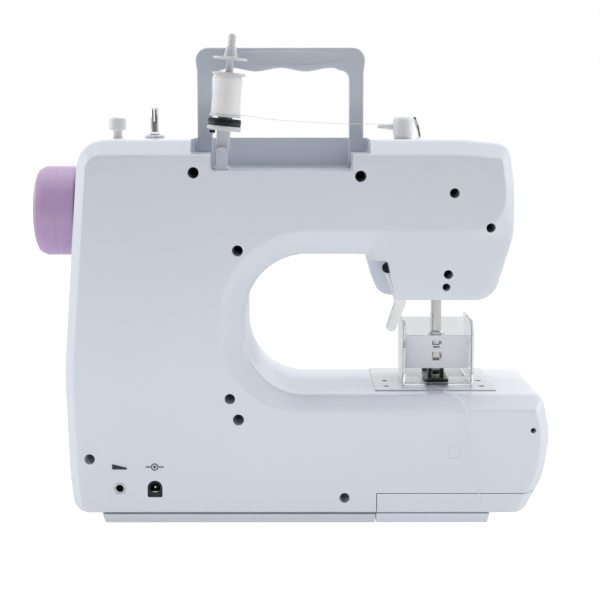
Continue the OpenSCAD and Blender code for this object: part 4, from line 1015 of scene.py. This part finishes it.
def carry_handle():
    low, high = span("carry_handle")
    x0, x1 = -31.2, 61.5
    in0, in1 = -23.2, 53.1
    bar = high.z - 11.4
    # one closed line: over the outside from the right foot to the left, back along the waves
    outside = [(x1, low.z, 1, 3), (x1, bar - 2, 2, 3), (x1 + 0.8, bar + 4, 2, 3), (x1 + 0.8, high.z, 7, 12),
               (x0 - 0.8, high.z, 7, 12), (x0 - 0.8, bar + 4, 2, 3), (x0, bar - 2, 2, 3), (x0, low.z, 1, 3),
               (in0, low.z, 1, 3), (in0, bar - 1, 5, 8)]
    shape = outline(outside + [(in1, bar - 1, 5, 8), (in1, low.z, 1, 3)])
    left = min(range(len(shape)), key=lambda i: abs(shape[i] - complex(in0 + 5, bar - 1)))
    waves = [complex(s, bar - 0.6 + math.cos(math.radians((s - 15) * 13)))
             for s in [in0 + 8 + 1.2 * k for k in range(51)] if s < in1 - 8]
    shape[left + 1:left + 1] = waves
    handle = prism("lift_handle", shape, low.y, high.y, edge=0.8)
    hollow = [(math.sin(t) * 36, -math.cos(t)) for t in [math.pi * k / 24 for k in range(25)]]
    for y in (low.y, high.y):
        dent = turned("dent", hollow, "y", 0, 0, 64)
        flat = Matrix.Diagonal((1, 1, 0.12, 1))
        dent.data.transform(Matrix.Translation(Vector((15, y, high.z - 5.6)) * MM) @ flat)
        combine(handle, [dent])
    piece(handle, "handle", GREY, "blue_grey_plastic", "carry_handle")


LEAN = Matrix.Translation(SPOOL) @ Matrix.Rotation(SPOOL_LEAN, 4, "Y")


def spool_pin():
    base = span("pin_bracket")[0].z
    x, y, z = SPOOL
    foot = slab("pin_ears", around(x, 4), around(y, 6.5), (base, base + 1.6), 0.3)
    shape = outline([(x + 3, base + 1, 0.3, 1), (x + 3, z + 3, 2.9, 8), (x - 3, z + 3, 2.9, 8),
                     (x - 3, base + 1, 0.3, 1)])
    ears = [prism("ear", shape, a, a + 2.5, edge=0.3) for a in (y - 6.5, y + 4)]
    axle = lathe("axle", [(0, y - 6.3), (1.5, y - 6.3), (1.5, y + 6.3), (0, y + 6.3)], 0.2, "y", x, z, 32)
    combine(foot, ears + [axle], "UNION")
    piece(foot, "machine", PLATE, "white_plastic", "pin_bracket")

    barrel = lathe("pin_stem", [(0, y - 3.7), (3.65, y - 3.7), (3.65, y + 3.7), (0, y + 3.7)], 0.4, "y", x,
            z, 48)
    neck = prism("neck", rectangle((-3.65, 3.65), (-3.2, 3.2), 0.9), 0.5, 12.5, "z", 0.2, matrix=LEAN)
    flange = lathe("flange", [(0, 12), (8.6, 12), (9.4, 12.8), (9.4, 14), (8.9, 14.6), (4, 14.6), (4, 19.4),
            (2.1, 19.4), (2.1, PIN_LENGTH - 1.4), (1.4, PIN_LENGTH), (0, PIN_LENGTH)], 0.4, "z", matrix=LEAN)
    combine(barrel, [neck, flange], "UNION")
    combine(barrel, [rod(x, z, 1.55, y - 6, y + 6)])
    piece(barrel, "pin", MILKY, "white_plastic", "spool_holder")


def spool_ring():
    ring = lathe("spool_seat", [(4.05, 14.62), (8.7, 14.62), (9, 14.9), (9, 18), (8.6, 18.6), (4.05, 18.6)],
            0.3, "z", matrix=LEAN, bored=True)
    teeth = []
    for k in range(30):
        spot = LEAN @ Matrix.Rotation(2 * math.pi * k / 30, 4, "Z") @ Matrix.Translation((9, 0, 17.4))
        teeth.append(slab("tooth", (-0.55, 0.6), (-0.4, 0.4), (-0.7, 2), 0,
                spot @ Matrix.Rotation(0.78, 4, "Z")))
    combine(ring, [joined("teeth", teeth)])
    clip = slab("clip", (4.6, 7.6), (0.5, 3.6), (10.3, 12), 0.3, LEAN)
    piece(joined("spool_seat", [ring, clip]), "pin", DARK, "dark_plastic", "spool_ring")


def thread_spool():
    bore = 2.15
    reel = lathe("reel", [(bore, 19.5), (8.4, 19.5), (8.6, 19.8), (8.6, 20.7), (8.3, 21), (3.6, 21),
            (3.6, 42), (8.7, 42), (9, 42.3), (9, 43.3), (8.7, 43.6), (bore, 43.6)], 0.25, "z", matrix=LEAN,
            bored=True)
    piece(reel, "spool", MILKY, "white_plastic", "thread_spool")
    # turns of thread laid beside each other, fuller in the lower third
    turns, low, high = 54, 21.05, 41.95
    profile = [(3.62, low)]
    for k in range(turns * 4 + 1):
        t = k / (turns * 4)
        swell = 7.9 - 0.35 * t + 0.14 * math.sin(9 * t) - 0.5 * max(0, t - 0.93) / 0.07
        profile.append((swell + 0.09 * abs(math.sin(math.pi * turns * t)), low + (high - low) * t))
    profile.append((3.62, high))
    wound = turned("wound_yarn", profile, "z", matrix=LEAN, segments=96, bored=True)
    piece(wound, "spool", THREAD, "thread", "wound_thread", angle=80)


def spool_cap():
    cap = lathe("spool_stop", [(2.15, 50.4), (9.1, 50.4), (9.5, 50.8), (9.5, 51.5), (9.1, 51.8), (4.2, 51.8),
            (3.8, 52.6), (2.8, 57.2), (2.5, 57.7), (2.15, 57.7)], 0.3, "z", matrix=LEAN, bored=True)
    piece(cap, "cap", MILKY, "white_plastic", "spool_cap")


# ======== Sockets on the rear ========

def power_outline(grow):
    """D shape: a round top on a square foot."""
    x, z = POWER
    r = 4 + grow
    top, bottom = z + 0.6, z - 4.6 - grow
    corners = [complex(x - r, top), complex(x - r, bottom), complex(x + r, bottom), complex(x + r, top)]
    arch = [complex(x, top) + cmath.rect(r, math.pi * k / 20) for k in range(21)]
    return arch + fillet(*corners[:3], 0.8, 4) + fillet(*corners[1:], 0.8, 4)


def power_inlet():
    x, z = POWER
    body = prism("power_inlet", power_outline(0), REAR_Y - 13, REAR_Y - 0.6, edge=0.3)
    bore = [(0, REAR_Y - 10), (2.8, REAR_Y - 10), (2.8, REAR_Y - 1), (3.1, REAR_Y + 1), (0, REAR_Y + 1)]
    combine(body, [turned("bore", bore, "y", x, z + 0.6, 40)])
    piece(body, "machine", DARK, "dark_plastic", "dc_jack")
    contact = lathe("power_pin", [(0, -10.2), (0.9, -10.2), (0.9, -2.6), (0.6, -2), (0, -2)],
                    0.3, "y", x, z + 0.6, 24, base=REAR_Y)
    blade = slab("spring", around(x, 1.8), (REAR_Y - 9, REAR_Y - 0.9), (z - 2.1, z - 1.5), 0.1)
    piece(joined("power_contacts", [contact, blade]), "machine", COPPER, "chrome")


def pedal_inlet():
    ring = lathe("pedal_inlet", [(1.9, -1.5), (1.9, -0.1), (2.2, 0.3), (2.7, 0.3), (2.9, 0.05), (2.9, -1.5)],
                 0.12, "y", *PEDAL, 48, bored=True, base=REAR_Y)
    piece(ring, "machine", CHROME, "chrome", "pedal_jack")
    sleeve = lathe("pedal_sleeve", [(0, -13), (2.9, -13), (2.9, -1.6), (1.9, -1.6), (1.9, -11), (0, -11)],
                   0.1, "y", *PEDAL, 48, base=REAR_Y)
    piece(sleeve, "machine", DARK, "dark_plastic")


# ======== Controls on the front ========

def dial_marks(name, x, z, radius, count, sweep):
    """Ring of plain tick marks round a dial."""
    ticks = []
    for k in range(count):
        t = math.radians(90 - sweep * (k / (count - 1) - 0.5))
        spot = Matrix.Translation((x + radius * math.cos(t), FRONT_Y, z + radius * math.sin(t)))
        ticks.append(slab("tick", (-1, 1), (-0.12, 0.1), (-0.22, 0.22), 0.05,
                spot @ Matrix.Rotation(-t, 4, "Y")))
    piece(joined(name, ticks), "machine", INK, "ink")


def stitch_dial():
    x, z = DIAL
    y = FRONT_Y
    disc = lathe("pattern_dial", [(0, 12), (4, 12), (4, -0.4), (21, -0.4), (21, -1.6), (19.4, -3), (16, -3),
            (0, -3)], 0.8, "y", x, z, 96, base=y)
    grip = prism("grip", rectangle(around(x, 5), around(z, 17), 4.9, 8), y - 13, y - 2, edge=1.2)
    combine(disc, [grip], "UNION")
    combine(disc, [flutes(x, z, 21.4, 0.8, 36, y - 6, y + 2)])
    piece(disc, "stitch_dial", LILAC, "lilac_plastic", "stitch_dial")
    pointer = slab("dial_pointer", around(x, 0.5), (y - 13.05, y - 12.5), (z + 5, z + 15), 0.1)
    piece(pointer, "stitch_dial", LINER, "white_plastic")
    dial_marks("dial_ticks", x, z, 24, 13, 300)


def tension_dial():
    knob = lathe("tension_knob", [(0, 12), (3, 12), (3, -0.4), (9.5, -0.4), (9.5, -8), (8.5, -9), (6.6, -9),
            (6.4, -7.8), (0, -7.8)], 0.5, "y", *TENSION, 96, base=FRONT_Y)
    combine(knob, [flutes(*TENSION, 9.8, 0.6, 24, FRONT_Y - 10, FRONT_Y - 1.5)])
    piece(knob, "tension_dial", LILAC, "lilac_plastic", "tension_dial")
    dial_marks("tension_ticks", *TENSION, 12.5, 9, 240)


def reverse_lever():
    front, back, z = FRONT_Y - 12.8, FRONT_Y + 5.8, 50
    shape = outline([(back, z + 2.8, 2.6, 6), (front + 2.8, z + 2, 0, 1), (front, z + 2.8, 2.6, 6),
                     (front, z - 2.8, 2.6, 6), (front + 2.8, z - 2, 0, 1), (back, z - 2.8, 2.6, 6)])
    piece(prism("reverse_paddle", shape, 79.6, 88.4, "x", 0.8), "reverse", LILAC, "lilac_plastic",
            "reverse_lever")


def switches():
    for node, body in (("speed_switch", "speed"), ("light_switch", "light")):
        low, high = span(node)
        knob = slab(body + "_knob", (low.x, high.x), (low.y, FRONT_Y - 0.3), (low.z, high.z), 0.5)
        stem = slab("stem", (low.x + 0.4, high.x - 0.4), (FRONT_Y - 1, high.y), (low.z + 1.4, high.z - 1.4),
                0.2)
        ridges = [slab("ridge", (low.x + s, low.x + s + 0.6), (low.y - 1, low.y + 0.3),
                (low.z - 1, high.z + 1), 0) for s in (1.4, 3.1, 4.8)]
        combine(knob, [stem], "UNION")
        piece(combine(knob, ridges), body, DARK, "dark_plastic", node)


# ======== Threads ========

def loose_thread():
    """Limp thread from the needle plate, over the bed's edge and down its rear face."""
    points = curve_through(TAIL)
    data = bpy.data.curves.new("thread_tail_line", "CURVE")
    data.dimensions = "3D"
    data.bevel_depth = 0.3 * MM
    data.bevel_resolution = 3
    data.use_fill_caps = True
    line = data.splines.new("POLY")
    line.points.add(len(points) - 1)
    for knot, point in zip(line.points, points):
        knot.co = (*(point * MM), 1)
    data.materials.append(THREAD)
    tail = linked(bpy.data.objects.new("loose_thread", data))
    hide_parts("thread_tail")
    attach(tail, "machine")


def upper_thread():
    """Thread that runs from the spool to the guide and goes once round the guide's stub."""
    x, y, z, r = -41.4, GUIDE[1], GUIDE_STUB_Z, 1.32
    spool_end = Vector((37.9, 26.5, 225.6))
    turn = [(x - 0.5 * t, y - r * math.sin(2 * math.pi * t), z + r * math.cos(2 * math.pi * t))
            for t in [k / 16 for k in range(21)]]
    middle = [(20, 24.8, 223.1), (0, 22.4, 221.6), (-20, 20, 220.7)]
    line = tube("upper_thread", curve_through([spool_end] + middle + turn, 4), 0.13, 8)
    line.data.materials.append(THREAD)
    for polygon in line.data.polygons:
        polygon.use_smooth = True
    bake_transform(line)


# ======== Inner works and other nodes whose CAD shape stays ========

def carried_over():
    finishes = {"machine_frame": ALLOY, "bed_frame": ALLOY, "shaft_bushes": BRONZE, "lower_bushes": BRONZE,
            "main_shaft": STEEL, "belt_pulley": DARK, "upper_gear": NYLON, "crank": STEEL,
            "connecting_rod": STEEL, "timing_belt": RUBBER, "drive_belt": RUBBER, "motor": STEEL,
            "motor_pulley": DARK, "lower_shaft": STEEL, "lower_gear": NYLON, "hook": CHROME, "bobbin": NYLON,
            "feed_dog": STEEL, "lamp": LAMP, "circuit_board": BOARD, "port_marks": INK}
    for node, material in finishes.items():
        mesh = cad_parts[node].data
        mesh.materials.clear()
        mesh.materials.append(material)
        mesh.polygons.foreach_set("material_index", [0] * len(mesh.polygons))


# ======== Stage ========

def aim_at(obj, where, target):
    """Puts a lamp or the camera in its place, facing the target; both are given in metres."""
    obj.location = where
    obj.rotation_euler = (Vector(target) - obj.location).to_track_quat("-Z", "Y").to_euler()


def paper_floor():
    """Pale floor that looks pure white to the camera and lights the machine only weakly."""
    bpy.ops.mesh.primitive_plane_add(size=12)
    floor = bpy.context.object
    floor.name = "floor"
    material, nodes, links, shader, where = new_material("paper_floor")
    cloud = noise(nodes, links, where, 3, 2)
    tone = two_tone(nodes, links, cloud, (0.29, 0.29, 0.29, 1), (0.31, 0.31, 0.31, 1))
    links.new(tone, shader.inputs["Base Color"])
    shader.inputs["Roughness"].default_value = 0.9
    shader.inputs["Emission Color"].default_value = (1, 1, 1, 1)
    sight = nodes.new("ShaderNodeLightPath")
    glow = nodes.new("ShaderNodeMapRange")
    glow.inputs["To Min"].default_value = 0.44
    links.new(sight.outputs["Is Camera Ray"], glow.inputs["Value"])
    links.new(glow.outputs["Result"], shader.inputs["Emission Strength"])
    floor.data.materials.append(material)


def studio():
    """White background; its light is dim behind the camera and bright behind and beside the machine."""
    world = bpy.data.worlds.new("studio")
    bpy.context.scene.world = world
    world.use_nodes = True
    nodes, links = world.node_tree.nodes, world.node_tree.links
    background = nodes["Background"]
    where = nodes.new("ShaderNodeTexCoord")
    split = nodes.new("ShaderNodeSeparateXYZ")
    links.new(where.outputs["Generated"], split.inputs["Vector"])
    ramp = nodes.new("ShaderNodeMapRange")
    ramp.interpolation_type = "SMOOTHSTEP"
    for socket, value in (("From Min", -0.2), ("From Max", 0.75), ("To Min", 1.15), ("To Max", 0.15)):
        ramp.inputs[socket].default_value = value
    links.new(split.outputs["Y"], ramp.inputs["Value"])
    sight = nodes.new("ShaderNodeLightPath")
    mix = nodes.new("ShaderNodeMix")
    mix.data_type = "FLOAT"
    mix.inputs["B"].default_value = 1.0
    links.new(sight.outputs["Is Camera Ray"], mix.inputs["Factor"])
    links.new(ramp.outputs["Result"], mix.inputs["A"])
    links.new(mix.outputs["Result"], background.inputs["Strength"])
    background.inputs["Color"].default_value = (1, 1, 1, 1)


def softbox(name, where, target, size, power, mirrored=True):
    light = bpy.data.lights.new(name, "AREA")
    light.shape = "RECTANGLE"
    light.size, light.size_y = size
    light.energy = power
    lamp = linked(bpy.data.objects.new(name, light))
    aim_at(lamp, where, target)
    lamp.visible_camera = False
    lamp.visible_glossy = mirrored


def lamps():
    softbox("overhead", (0, -0.1, 1.2), (0, 0, 0.1), (1.6, 1.2), 4.6)
    softbox("left_panel", (1.5, -0.1, 0.5), (0, 0, 0.15), (0.8, 1.2), 4)
    softbox("right_panel", (-1.5, -0.1, 0.5), (0, 0, 0.15), (0.8, 1.2), 5)
    softbox("low_front", (0, 0.33, 0.03), (0, 0.05, 0.03), (0.8, 0.05), 0.42, mirrored=False)


def camera():
    view = bpy.data.cameras.new("view")
    view.lens = 85.7
    view.sensor_width = 36
    eye = linked(bpy.data.objects.new("view", view))
    aim_at(eye, (0.0056, 0.813, 0.231), (0.0043, 0.050, 0.1267))
    bpy.context.scene.camera = eye
    bpy.context.scene.view_settings.view_transform = "Standard"


paper_floor()
studio()
lamps()
camera()
loose_thread()
upper_thread()
rear_shell()
front_shell()
drawer()
foot()
well_screws()
stitch_plate()
bobbin_cover()
bars()
needle_clamp()
sewing_needle()
foot_shank()
snap_foot()
guard_carrier()
finger_guard()
take_up()
lifter()
handwheel()
winder()
winder_stop()
thread_guide()
carry_handle()
spool_pin()
spool_ring()
thread_spool()
spool_cap()
power_inlet()
pedal_inlet()
stitch_dial()
tension_dial()
reverse_lever()
switches()
carried_over()
